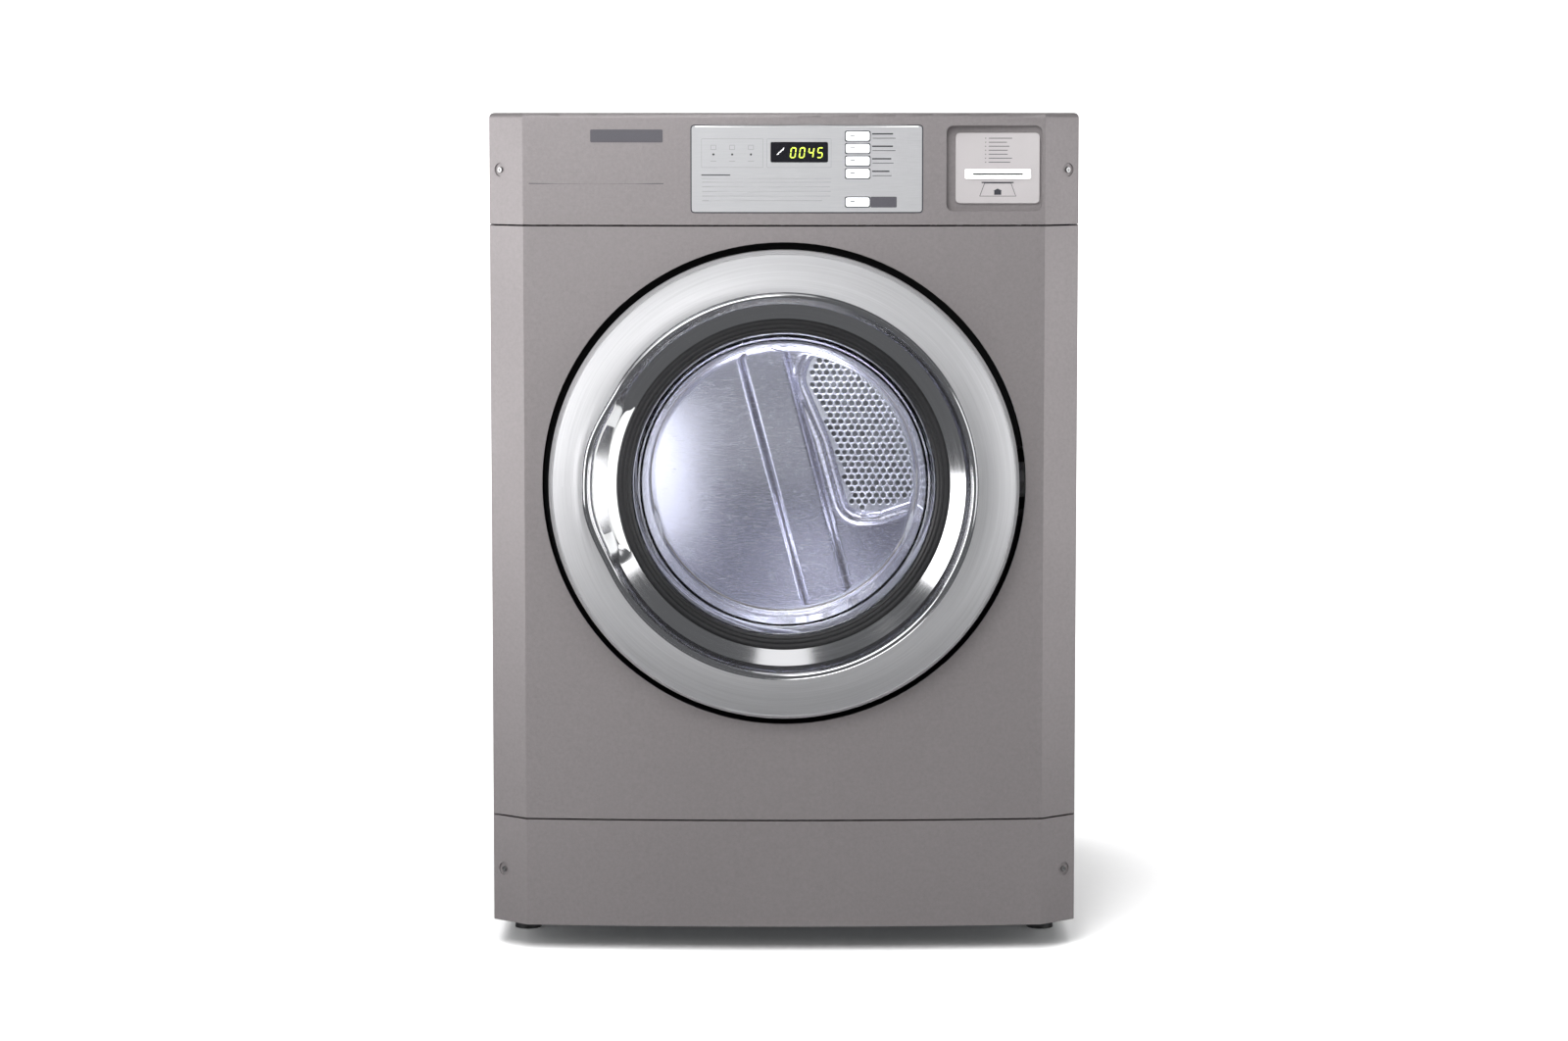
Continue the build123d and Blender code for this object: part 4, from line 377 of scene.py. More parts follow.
def finished_mesh(name, made, material, body, replaced, crease):
    """A bmesh turned into a piece that rides on a body, with edges sharp from this angle in degrees on."""
    bmesh.ops.remove_doubles(made, verts=made.verts, dist=MERGE_DISTANCE)
    bmesh.ops.recalc_face_normals(made, faces=made.faces)
    mesh = bpy.data.meshes.new(name)
    made.to_mesh(mesh)
    made.free()
    mesh.shade_smooth()
    mesh.set_sharp_from_angle(angle=radians(crease))
    mesh.materials.append(material)
    thing = bpy.data.objects.new(name, mesh)
    bpy.context.scene.collection.objects.link(thing)
    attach(thing, body)
    if replaced:
        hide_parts(*replaced)
    return thing


def bridge(made, row, following):
    """Faces between two closed rows of vertices."""
    for i in range(len(row)):
        j = (i + 1) % len(row)
        made.faces.new((row[i], row[j], following[j], following[i]))


def sweep_round(made, profile_at, angles, closed_round):
    """Skin a closed profile, given as (radius, y) at each angle, round the door's axis."""
    rows = []
    for angle in angles:
        c, s = cos(angle), sin(angle)
        rows.append([made.verts.new((DOOR_X + r * MM * c, y * MM, DOOR_Z + r * MM * s))
                     for r, y in profile_at(angle)])
    pairs = list(zip(rows, rows[1:]))
    if closed_round:
        pairs.append((rows[-1], rows[0]))
    else:
        made.faces.new(rows[0])
        made.faces.new(rows[-1])
    for row, following in pairs:
        bridge(made, row, following)


def full_circle(steps):
    return [FULL_TURN * i / steps for i in range(steps)]


def smooth_step(value, low, high):
    t = min(1.0, max(0.0, (value - low) / (high - low)))
    return t * t * (3 - 2 * t)


def box_outline(x0, x1, z0, z1, corner=0.0):
    return rounded([(x0, z0, corner), (x1, z0, corner), (x1, z1, corner), (x0, z1, corner)], 5)


# ---- the door ---------------------------------------------------------------------------------

# radii and depths in millimetres; depth y grows away from the viewer
RING_STEPS = full_circle(288)
BOWL_STEPS = full_circle(192)
HANDLE_MIDDLE = radians(178)
HANDLE_HALF = radians(28)
HANDLE_BLEND = radians(7)
BULGE = 8.5
BULGE_BLEND = radians(22)
BULGE_REACH = 22
BEVEL_R = 193.0
LIP_R = 217.0
FACE_R = 225.0
EDGE_R = 267.0
FACE_Y = -380.7
FACE_FALL = 10.2
FACE_STEPS = 12


def handle_share(angle, blend):
    """1 in the middle of the pull handle, 0 away from it."""
    away = abs((angle - HANDLE_MIDDLE + pi) % FULL_TURN - pi)
    return 1 - smooth_step(away, HANDLE_HALF - blend, HANDLE_HALF)


def pushed(radius, angle):
    """The ring's inner edge swells outward behind the pull handle."""
    share = handle_share(angle, BULGE_BLEND)
    return radius + BULGE * share * (1 - smooth_step(radius, FACE_R, FACE_R + BULGE_REACH))


def ring_face():
    """The brushed face, which falls away ever faster from the lip to the outer edge."""
    points = []
    for i in range(FACE_STEPS + 1):
        radius = FACE_R + (EDGE_R - FACE_R) * i / FACE_STEPS
        points.append((radius, FACE_Y + FACE_FALL * ((radius - FACE_R) / (EDGE_R - FACE_R)) ** 1.6))
    return points


RING_PROFILE = rounded(
    [(FACE_R - 1.0, -379.6, 0.4)]
    + ring_face()
    + [(267.6, -369.6, 0.3), (268.6, -369.9, 0.5), (272.5, -364, 4), (272.5, -342, 0.5), (270, -342, 0.5),
       (270, -362, 4), (248, -373, 0), (FACE_R, -377.5, 0)], 5)
LIP_PROFILE = rounded(
    [(LIP_R, -377.6, 0.6), (LIP_R + 0.6, -381.2, 1.4), (LIP_R + 3.0, -382, 1.8), (LIP_R + 5.2, -381.7, 1.2),
     (LIP_R + 6.0, -380.2, 0.5), (LIP_R + 7.9, -380.9, 0.5), (LIP_R + 7.9, -377.6, 0.5)], 5)


def ring_profile(profile):
    return lambda angle: [(pushed(radius, angle), y) for radius, y in profile]


BEVEL_POINTS = 30
BEVEL_FOOT_Y = -355.2
BEVEL_RISE = 12.4
BEVEL_ROLL = 10.0
RECESS_Y = -354.8
RECESS_WALL = 22.8
RECESS_FLOOR_SHARE = 0.56


def bevel_y(radius):
    """Concave slope of the chrome bevel, from the gasket out to the lip."""
    share = (radius - BEVEL_R) / (LIP_R - BEVEL_R)
    return BEVEL_FOOT_Y - BEVEL_RISE * share - BEVEL_ROLL * smooth_step(share, 0.86, 1.03)


def bevel_and_pull(angle):
    """The bevel's section, which sinks to a scooped finger recess behind the pull handle's rolled lip."""
    share = handle_share(angle, HANDLE_BLEND)
    outer = pushed(LIP_R, angle) + 0.2
    floor_r = BEVEL_R + (outer - BEVEL_R) * RECESS_FLOOR_SHARE
    section = []
    for i in range(BEVEL_POINTS + 1):
        t = i / BEVEL_POINTS
        radius = BEVEL_R + (outer - BEVEL_R) * t
        plain = bevel_y(BEVEL_R + (LIP_R - BEVEL_R) * t)
        wall = smooth_step(radius, floor_r, outer + 0.5)
        sunk = RECESS_Y - RECESS_WALL * wall
        section.append((radius, plain * (1 - share) + sunk * share))
    back = [(outer, -374.5), (BEVEL_R + 10, -352.6), (BEVEL_R, -351.8)]
    return section + back


def door_ring():
    made = bmesh.new()
    sweep_round(made, ring_profile(RING_PROFILE), RING_STEPS, True)
    return finished_mesh("door_ring_brushed", made, finishes["door_brushed"].material, "door",
                         ["door_outer_ring"], 25)


def door_lip():
    made = bmesh.new()
    sweep_round(made, ring_profile(LIP_PROFILE), RING_STEPS, True)
    return finished_mesh("door_ring_lip", made, finishes["door_chrome"].material, "door",
                         (), 60)


def arc_steps(start, end, step=radians(0.8)):
    count = int((end - start) / step)
    return [start + (end - start) * i / count for i in range(count + 1)]


def door_bevel():
    made = bmesh.new()
    first = HANDLE_MIDDLE + HANDLE_HALF
    sweep_round(made, bevel_and_pull, arc_steps(first, first + FULL_TURN - 2 * HANDLE_HALF), False)
    return finished_mesh("door_bevel_chrome", made, finishes["door_chrome"].material, "door",
                         ["door_inner_bevel"], 40)


def door_pull():
    made = bmesh.new()
    sides = arc_steps(HANDLE_MIDDLE - HANDLE_HALF, HANDLE_MIDDLE + HANDLE_HALF, radians(0.4))
    sweep_round(made, bevel_and_pull, sides, False)
    return finished_mesh("door_pull_handle", made, pull_chrome.material, "door",
                         ["door_handle"], 40)


PAD_HALF = radians(25.5)
PAD_WIDTH = 11.5
PAD_INNER = BEVEL_R + 1.4
PAD_BEVEL = 0.5
PAD_EDGE_Y = -355.6
PAD_TOP_Y = -356.0


def insert_section(angle):
    """Pale pad lying in the recess, narrowing to rounded ends."""
    along = abs(angle - HANDLE_MIDDLE) / PAD_HALF
    outer = PAD_INNER + PAD_WIDTH * max(0.02, 1 - along ** 6) ** 0.5
    return [(PAD_INNER, RECESS_Y), (PAD_INNER, PAD_EDGE_Y), (PAD_INNER + PAD_BEVEL, PAD_TOP_Y),
            (outer - PAD_BEVEL, PAD_TOP_Y), (outer, PAD_EDGE_Y), (outer, RECESS_Y)]


def pull_insert():
    made = bmesh.new()
    sides = arc_steps(HANDLE_MIDDLE - PAD_HALF, HANDLE_MIDDLE + PAD_HALF)
    sweep_round(made, insert_section, sides, False)
    return finished_mesh("door_pull_insert", made, pad_plastic.material, "door", (), 40)


GASKET_PROFILE = rounded(
    [(177, -352.2, 0.4), (177, -355.2, 1.2), (179.6, -356.9, 1.2), (181.2, -355.6, 0.7), (182.6, -357.2, 1.0),
     (184.6, -357.4, 1.0), (186, -355.8, 0.9), (189.5, -356.6, 1.6), (193, -354.3, 1.0), (193, -348.4, 0.4),
     (183, -348.4, 0), (183, -352.2, 0)], 5)


def gasket():
    made = bmesh.new()
    sweep_round(made, lambda angle: GASKET_PROFILE, RING_STEPS, True)
    return finished_mesh("door_glass_gasket", made, finishes["black_rubber"].material, "door",
                         ["glass_gasket"], 50)


GLASS_FRONT_PROFILE = rounded(
    [(0, -294.0), (60, -294.25), (110, -294.9), (157, -296.2, 9), (165.5, -338, 6), (178, -352, 3),
     (182.8, -352, 0)], 8, closed=False)
GLASS_BACK_PROFILE = rounded(
    [(182.8, -348, 0), (176, -348, 3), (169.5, -336, 6), (161, -292.2, 12), (110, -290.9), (60, -290.25),
     (0, -290.0)], 8, closed=False)


def bowl():
    made = bmesh.new()
    sweep_round(made, lambda angle: GLASS_FRONT_PROFILE + GLASS_BACK_PROFILE, BOWL_STEPS, True)
    return finished_mesh("door_bowl_glass", made, finishes["door_glass"].material, "door",
                         ["door_glass"], 60)


for make in (door_ring, door_lip, door_bevel, door_pull, pull_insert, gasket, bowl):
    make()

# ---- the back wall of the drum ----------------------------------------------------------------

wall_low, wall_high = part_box("rear_bulkhead")
WALL_Y = 298.0
BAND_LEAN = radians(14.8)
BAND_HALF = 33.0
BAND_HALF_LENGTH = 258.0
BAND_RISE = 8.6
DISH_RISE = 2.2
BEADS = ((2.6, 3.2, 3.2), (2.2, 12.5, 4.2))  # rise, distance from the opening and half width of each
EDGE_ROLL = 2.4
DISC_R = 292.0
DISC_CENTRE_Z = DOOR_Z / MM
CELL = 2.6
OPENING_EDGE = -1.6  # where the wall ends inside the outline of the warm-air inlet
SLOPE_STEP = 0.5
GRILLE_OUTLINE = rounded(
    [(186, 674, 14), (120, 676, 30), (84, 668, 22), (62, 676, 16), (36, 655, 22), (26, 628, 30),
     (60, 548, 60), (88, 446, 26), (128, 448, 30), (170, 462, 40), (208, 474, 18), (222, 553, 90)], 7)


def distance_to(outline, x, z):
    """Signed distance in millimetres from (x, z) arrays to a closed outline, negative inside."""
    ring = np.array(outline)
    following = np.roll(ring, -1, axis=0)
    best = np.full(x.shape, 1e9)
    inside = np.zeros(x.shape, bool)
    for (ax, az), (bx, bz) in zip(ring, following):
        ex, ez = bx - ax, bz - az
        t = np.clip(((x - ax) * ex + (z - az) * ez) / (ex * ex + ez * ez + 1e-12), 0, 1)
        best = np.minimum(best, np.hypot(x - ax - t * ex, z - az - t * ez))
        crossing = (az > z) != (bz > z)
        inside ^= crossing & (x < ax + (z - az) * ex / (ez if ez else 1e-9))
    return np.where(inside, -best, best)


def steps_between(value, low, high):
    t = np.clip((value - low) / (high - low), 0, 1)
    return t * t * (3 - 2 * t)


def ridge(value, middle_at, half):
    return 1 - steps_between(np.abs(value - middle_at), 0, half)


def pressed_height(x, z, gap):
    """How far the pressed wall stands towards the door."""
    up = z - DISC_CENTRE_Z
    across = x * cos(BAND_LEAN) + up * sin(BAND_LEAN)
    along = -x * sin(BAND_LEAN) + up * cos(BAND_LEAN)
    band = 1 - steps_between(np.abs(across), BAND_HALF - 8, BAND_HALF + 3)
    band *= 1 - steps_between(np.abs(along), BAND_HALF_LENGTH - 14, BAND_HALF_LENGTH)
    dish = DISH_RISE * (1 - steps_between(np.hypot(x, up), 30, 250))
    beads = sum(rise * ridge(gap, at, half) for rise, at, half in BEADS)
    rolled = -EDGE_ROLL * (1 - steps_between(gap, OPENING_EDGE, 0.8))
    return BAND_RISE * band * steps_between(gap, 0, 14) + dish + beads + rolled


def back_wall():
    """The pressed disc behind the drum, with its raised band and the opening for the warm-air inlet."""
    made = bmesh.new()
    count = int(2 * DISC_R / CELL) + 1
    line = np.linspace(-DISC_R, DISC_R, count)
    x, z = np.meshgrid(line, line + DISC_CENTRE_Z, indexing="ij")
    radius = np.hypot(x, z - DISC_CENTRE_Z)
    beyond = radius > DISC_R
    scale = np.where(beyond, DISC_R / np.maximum(radius, 1e-6), 1.0)
    x, z = x * scale, DISC_CENTRE_Z + (z - DISC_CENTRE_Z) * scale
    gap = distance_to(GRILLE_OUTLINE, x, z)
    slope_x = (distance_to(GRILLE_OUTLINE, x + SLOPE_STEP, z) - gap) / SLOPE_STEP
    slope_z = (distance_to(GRILLE_OUTLINE, x, z + SLOPE_STEP) - gap) / SLOPE_STEP
    near = (gap < OPENING_EDGE) & (gap > OPENING_EDGE - 2 * CELL)
    x = np.where(near, x + (OPENING_EDGE - gap) * slope_x, x)
    z = np.where(near, z + (OPENING_EDGE - gap) * slope_z, z)
    shown_gap = np.where(near, OPENING_EDGE, gap)
    y = WALL_Y - pressed_height(x, z, shown_gap)
    verts = {}

    def vert(i, j):
        if (i, j) not in verts:
            verts[i, j] = made.verts.new((x[i, j] * MM, y[i, j] * MM, z[i, j] * MM))
        return verts[i, j]

    for i in range(count - 1):
        for j in range(count - 1):
            corner = ((i, j), (i + 1, j), (i + 1, j + 1), (i, j + 1))
            if all(beyond[c] for c in corner) or all(gap[c] < OPENING_EDGE for c in corner):
                continue
            made.faces.new([vert(*c) for c in corner])
    return finished_mesh("drum_back_wall", made, finishes["drum_steel"].material, "cabinet",
                         (), 70)


PLATE_CUT_HALF = 232.0
PLATE_CUT_TOP = 228.0
SHEET_BACK = 0.4
SHEET_T = 1.2


def plate_round_disc():
    """The flat sheet between the drum's disc and the cabinet walls, open below for the air path."""
    made = bmesh.new()
    low_x, high_x = wall_low.x / MM, wall_high.x / MM
    low_z, high_z = wall_low.z / MM, wall_high.z / MM
    outer = [(low_x, low_z), (-PLATE_CUT_HALF, low_z), (-PLATE_CUT_HALF, PLATE_CUT_TOP),
             (PLATE_CUT_HALF, PLATE_CUT_TOP), (PLATE_CUT_HALF, low_z), (high_x, low_z),
             (high_x, high_z), (low_x, high_z)]
    inner = [((DISC_R - 1) * cos(a), DISC_CENTRE_Z + (DISC_R - 1) * sin(a)) for a in full_circle(144)]
    edges = []
    for outline in (outer, inner):
        loop = [made.verts.new((x * MM, (WALL_Y + SHEET_BACK) * MM, z * MM)) for x, z in outline]
        edges += [made.edges.new((a, b)) for a, b in zip(loop, loop[1:] + loop[:1])]
    bmesh.ops.triangle_fill(made, edges=edges, use_beauty=True)
    return finished_mesh("drum_back_sheet", made, finishes["drum_steel"].material, "cabinet",
                         (), 30)


def thickened(thing):
    """Sheet metal with a real thickness, grown away from the door."""
    towards_back = sum(face.normal.y * face.area for face in thing.data.polygons) > 0
    if towards_back:
        thing.data.flip_normals()
    sheet = thing.modifiers.new("sheet", "SOLIDIFY")
    sheet.thickness = SHEET_T * MM
    sheet.offset = -1
    return thing


PITCH = 9.6
ROW_RISE = PITCH * sin(radians(60))
NET_ROWS = range(-14, 16)
NET_COLUMNS = 26
NET_FRONT = 298.9
CELL_DIRECTIONS = [(cos(angle), sin(angle)) for angle in full_circle(12)]
CORNER_REACH = PITCH / 2 / cos(radians(30))
CORNER_RISE, SIDE_RISE = 0.55, 0.35
HOLE_R = 3.5
HOLE_RINGS = ((4.25, NET_FRONT - SIDE_RISE), (HOLE_R, NET_FRONT + 0.35), (HOLE_R - 0.1, 300.4))
HOLE_MARGIN = 6.2  # a hole needs this much inside the outline
NET_OVERLAP = 3.5  # and the net reaches this far outside it, behind the wall


def cell_ring(made, x, z, even, odd):
    """Twelve vertices round a cell; the even and the odd ones each have their own radius and depth."""
    ring = []
    for i, (c, s) in enumerate(CELL_DIRECTIONS):
        radius, y = odd if i % 2 else even
        ring.append(made.verts.new(((x + radius * c) * MM, y * MM, (z + radius * s) * MM)))
    return ring


def net_cell(made, x, z, pierced):
    """One six-sided cell of the grille: a raised border falling to a round hole."""
    side, corner = (PITCH / 2, NET_FRONT - SIDE_RISE), (CORNER_REACH, NET_FRONT - CORNER_RISE)
    border = cell_ring(made, x, z, side, corner)
    if not pierced:
        made.faces.new(border)
        return
    rings = [border] + [cell_ring(made, x, z, place, place) for place in HOLE_RINGS]
    for ring, following in zip(rings, rings[1:]):
        bridge(made, ring, following)


def grille_net():
    made = bmesh.new()
    centres = [(column * PITCH + PITCH / 2 * (row % 2), DISC_CENTRE_Z + row * ROW_RISE)
               for row in NET_ROWS for column in range(NET_COLUMNS)]
    x = np.array([c[0] for c in centres])
    z = np.array([c[1] for c in centres])
    for (cx, cz), gap in zip(centres, distance_to(GRILLE_OUTLINE, x, z)):
        if gap < NET_OVERLAP:
            net_cell(made, cx, cz, gap < -HOLE_MARGIN)
    return finished_mesh("air_inlet_net", made, net_steel.material, "cabinet",
                         ["inlet_grille"], 50)


wall = thickened(back_wall())
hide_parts("rear_bulkhead")
thickened(plate_round_disc())
grille_net()

# ---- printed marks on the control panel -------------------------------------------------------

FACET_X = 302.0
FACET_Y = -340.0
BOW_DEPTH = FACET_Y - FRONT_Y / MM
BOW_R = (FACET_X ** 2 + BOW_DEPTH ** 2) / (2 * BOW_DEPTH)
LONGEST_RUN = 7.0
overlay_low, overlay_high = (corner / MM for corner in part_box("control_overlay"))
window_low, window_high = (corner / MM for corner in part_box("display_window"))
reader_low, reader_high = (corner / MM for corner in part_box("card_reader_plate"))


def bow_y(x):
    """Depth of the bowed front at this distance from the middle."""
    return FRONT_Y / MM + BOW_R - (BOW_R ** 2 - x ** 2) ** 0.5


def divided(outline):
    """The outline with points added on its long straight runs, so that it can follow the bow."""
    points = []
    for (ax, az), (bx, bz) in zip(outline, outline[1:] + outline[:1]):
        parts = max(1, int(hypot(bx - ax, bz - az) / LONGEST_RUN) + 1)
        points += [(ax + (bx - ax) * i / parts, az + (bz - az) * i / parts) for i in range(parts)]
    return points


def mark(made, outline, lift, inner=None, depth_at=bow_y, thick=0.12):
    """One flat printed mark, or a frame where an inner outline is given, laid on the surface."""
    outline = divided(outline)
    fronts = [made.verts.new((x * MM, (depth_at(x) - lift) * MM, z * MM)) for x, z in outline]
    backs = [made.verts.new((x * MM, (depth_at(x) - lift + thick) * MM, z * MM)) for x, z in outline]
    count = len(outline)
    sides = [(i, (i + 1) % count) for i in range(count)]
    for i, j in sides:
        made.faces.new((fronts[i], fronts[j], backs[j], backs[i]))
    if inner is None:
        bmesh.ops.triangle_fill(made, edges=[made.edges.get((fronts[i], fronts[j])) for i, j in sides])
        return
    inner = divided(inner)
    rim = [made.verts.new((x * MM, (depth_at(x) - lift) * MM, z * MM)) for x, z in inner]
    edges = [made.edges.get((fronts[i], fronts[j])) for i, j in sides]
    edges += [made.edges.new((a, b)) for a, b in zip(rim, rim[1:] + rim[:1])]
    bmesh.ops.triangle_fill(made, edges=edges, use_beauty=True)


def bar(made, x0, x1, z, height, lift, depth_at=bow_y):
    mark(made, box_outline(x0, x1, z - height / 2, z + height / 2), lift, None, depth_at)


def frame_mark(made, x0, x1, z0, z1, corner, width, lift, depth_at=bow_y):
    outer = box_outline(x0, x1, z0, z1, corner)
    inner = box_outline(x0 + width, x1 - width, z0 + width, z1 - width, max(corner - width, 0.1))
    mark(made, outer, lift, inner, depth_at)


def disc(made, x, z, radius, lift, depth_at=bow_y):
    mark(made, [(x + radius * cos(a), z + radius * sin(a)) for a in full_circle(20)], lift, None, depth_at)


PRINT_LIFT = 0.48
TOUCH_LIFT = 0.06
KEY_LIFT = 0.05
EDGE_LINE = 0.4
BUTTON_X0, BUTTON_X1 = 71.1, 98.7
BUTTON_HALF_HEIGHT = 5.2
BUTTON_FRAME = 1.1
HEAT_KEYS = ("high_heat", "medium_heat", "low_heat", "extra_dry")
HEAT_ROWS = [middle(f"{name}_button").z / MM for name in HEAT_KEYS]
HEAT_LABELS = (24, 24, 22, 20)
LABEL_X, SUBLABEL_X = 101.5, 102.0
START_ROW = middle("start_button").z / MM
FRAME_LOW, FRAME_HIGH = 919.9, 953.3
HEADING_Z, RULE_Z = 911.4, 907.4
TEXT_LEFT, TEXT_RIGHT = -95.3, 54.5
HAIRLINE = 0.45
TEXT_ROWS = ((903.2, 54), (897.9, 53), (892.6, 54), (887.3, 53.5), (882.0, 44))
LAMP_XS = (-81.3, -59.7, -38.1)
LAMP_Z, LAMP_R = 935.1, 1.25
LAMP_SIGN_LOW, LAMP_SIGN_HIGH = 940.4, 946.0
LAMP_LABEL_Z = 927.4


def panel_ink():
    """Dark print on the silver overlay: edge line, lamp dots, key frames and plain bars for labels."""
    made = bmesh.new()
    frame_mark(made, overlay_low.x - EDGE_LINE, overlay_high.x + EDGE_LINE, overlay_low.z - EDGE_LINE,
               overlay_high.z + EDGE_LINE, 4.9, 1.25, PRINT_LIFT)
    for x in LAMP_XS:
        disc(made, x, LAMP_Z, LAMP_R, PRINT_LIFT)
    for row in HEAT_ROWS + [START_ROW]:
        frame_mark(made, BUTTON_X0 - BUTTON_FRAME, BUTTON_X1 + BUTTON_FRAME,
                   row - BUTTON_HALF_HEIGHT - BUTTON_FRAME, row + BUTTON_HALF_HEIGHT + BUTTON_FRAME,
                   2.6, 1.2, PRINT_LIFT)
    for row, length in zip(HEAT_ROWS, HEAT_LABELS):
        bar(made, LABEL_X, LABEL_X + length, row + 2.6, 1.5, PRINT_LIFT)
        bar(made, SUBLABEL_X, SUBLABEL_X + length * 1.1, row - 2.4, 0.6, PRINT_LIFT)
    bar(made, TEXT_LEFT, -62, HEADING_Z, 1.2, PRINT_LIFT)
    return finished_mesh("panel_print_dark", made, ink.material, "cabinet", (), 30)


def panel_lines():
    """Grey hairlines: the two display frames, the heading rule and plain rows in place of small print."""
    made = bmesh.new()
    for left, right in ((TEXT_LEFT, -24.0), (-19.9, TEXT_RIGHT)):
        frame_mark(made, left, right, FRAME_LOW, FRAME_HIGH, 1.4, HAIRLINE, PRINT_LIFT)
    bar(made, TEXT_LEFT, TEXT_RIGHT, RULE_Z, HAIRLINE, PRINT_LIFT)
    for row, right in TEXT_ROWS:
        bar(made, TEXT_LEFT + 1, right, row, 0.8, PRINT_LIFT)
    for x in LAMP_XS:
        frame_mark(made, x - 3.2, x + 3.2, LAMP_SIGN_LOW, LAMP_SIGN_HIGH, 0.8, 0.6, PRINT_LIFT)
        bar(made, x - 3.4, x + 3.4, LAMP_LABEL_Z, 0.7, PRINT_LIFT)
    return finished_mesh("panel_print_grey", made, grey_ink.material, "cabinet", (), 30)


def panel_light_lines():
    """Bright line just inside the overlay's dark edge, along its top."""
    made = bmesh.new()
    bar(made, overlay_low.x + 5, overlay_high.x - 5, overlay_high.z - 1.6, 1.0, PRINT_LIFT)
    return finished_mesh("panel_print_light", made, finishes["white_plastic"].material, "cabinet", (),
                         30)


def label_plates():
    """Dark plates: the blank badge at the left, the line below it and the plate beside the start button."""
    made = bmesh.new()
    mark(made, box_outline(-223.5, -139.8, 948.9, 963.7, 1.6), 0.35, thick=0.35)
    mark(made, box_outline(BUTTON_X1 + 1.2, 130.0, START_ROW - 6.2, START_ROW + 6.2, 1.2), PRINT_LIFT + 0.1)
    bar(made, -295, -139, 901.5, 0.9, TOUCH_LIFT)
    return finished_mesh("label_plates_dark", made, plate_ink.material, "cabinet", (), 30)


def button_dashes():
    """The short raised dash at the left of each key, riding on its key."""
    for name in (*HEAT_KEYS, "start"):
        low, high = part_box(f"{name}_button")
        made = bmesh.new()
        row = (low.z + high.z) / 2 / MM
        key_y = low.y / MM
        mark(made, box_outline(76.2, 81.6, row + 0.2, row + 1.4, 0.4), KEY_LIFT, None, lambda x, y=key_y: y)
        finished_mesh(f"{name}_button_dash", made, ink.material, f"{name}_button_key",
                      (), 30)


SEGMENTS = {"0": "abcdef", "4": "bcfg", "5": "acdfg"}
DIGIT_W = 6.6
DIGIT_H = 12.4
DIGIT_PITCH = 10.3
DIGIT_SLANT = 0.14
DIGITS_RIGHT, DIGITS_UP = 0.33, 0.21  # as shares of the window
STROKE = 1.25
STROKE_GAP = 0.28


def segment_outline(letter):
    """Corners of one display segment inside a digit, from its lower left corner."""
    half = STROKE / 2
    middle_z = DIGIT_H / 2
    level = {"a": DIGIT_H - half, "g": middle_z, "d": half}
    right = DIGIT_W - half
    upright = {"f": (half, middle_z), "b": (right, middle_z), "e": (half, 0), "c": (right, 0)}
    gap = STROKE_GAP
    if letter in level:
        z = level[letter]
        return [(half + gap, z), (STROKE + gap, z + half), (DIGIT_W - STROKE - gap, z + half),
                (DIGIT_W - half - gap, z), (DIGIT_W - STROKE - gap, z - half), (STROKE + gap, z - half)]
    x, bottom = upright[letter]
    low, high = bottom + gap + half * (bottom == 0), bottom + middle_z - gap - half * (bottom > 0)
    return [(x, low), (x + half, low + half), (x + half, high - half), (x, high), (x - half, high - half),
            (x - half, low + half)]


def digits():
    """Generic figures in the display window."""
    made = bmesh.new()
    glass_y = window_low.y
    start_x = window_low.x + (window_high.x - window_low.x) * DIGITS_RIGHT
    start_z = window_low.z + (window_high.z - window_low.z) * DIGITS_UP
    for place, figure in enumerate("0045"):
        for letter in SEGMENTS[figure]:
            outline = [(start_x + place * DIGIT_PITCH + x + z * DIGIT_SLANT, start_z + z)
                       for x, z in segment_outline(letter)]
            mark(made, outline, KEY_LIFT, None, lambda x: glass_y)
    return finished_mesh("display_figures", made, glow.material, "cabinet", (), 30)


SWIRL_STROKE = ((0, 0), (2.2, 0.7), (3.1, 3.4), (2.3, 3.6), (1.4, 1.6), (0, 0.9))


def display_icon():
    """A small pale swirl at the left of the display."""
    made = bmesh.new()
    glass_y = window_low.y
    for i in range(3):
        x, z = -8.2 + 2.6 * i, 934.6 + 2.4 * i
        outline = [(x + dx, z + dz) for dx, dz in SWIRL_STROKE]
        mark(made, outline, KEY_LIFT, None, lambda x: glass_y)
    return finished_mesh("display_icon", made, finishes["white_plastic"].material, "cabinet", (),
                         30)


READER_ROWS = (27, 21, 24, 22, 22, 27, 25)
READER_ROW_PITCH = 4.6
READER_DOT_X, READER_TEXT_X = 232.5, 236.5
CARD_LOW, CARD_HIGH = 886.6, 902.0
CARD_ARROW = ((243.0, 888.4), (251.2, 888.4), (251.2, 893.0), (252.2, 893.0), (247.1, 895.6), (242.0, 893.0),
              (243.0, 893.0))


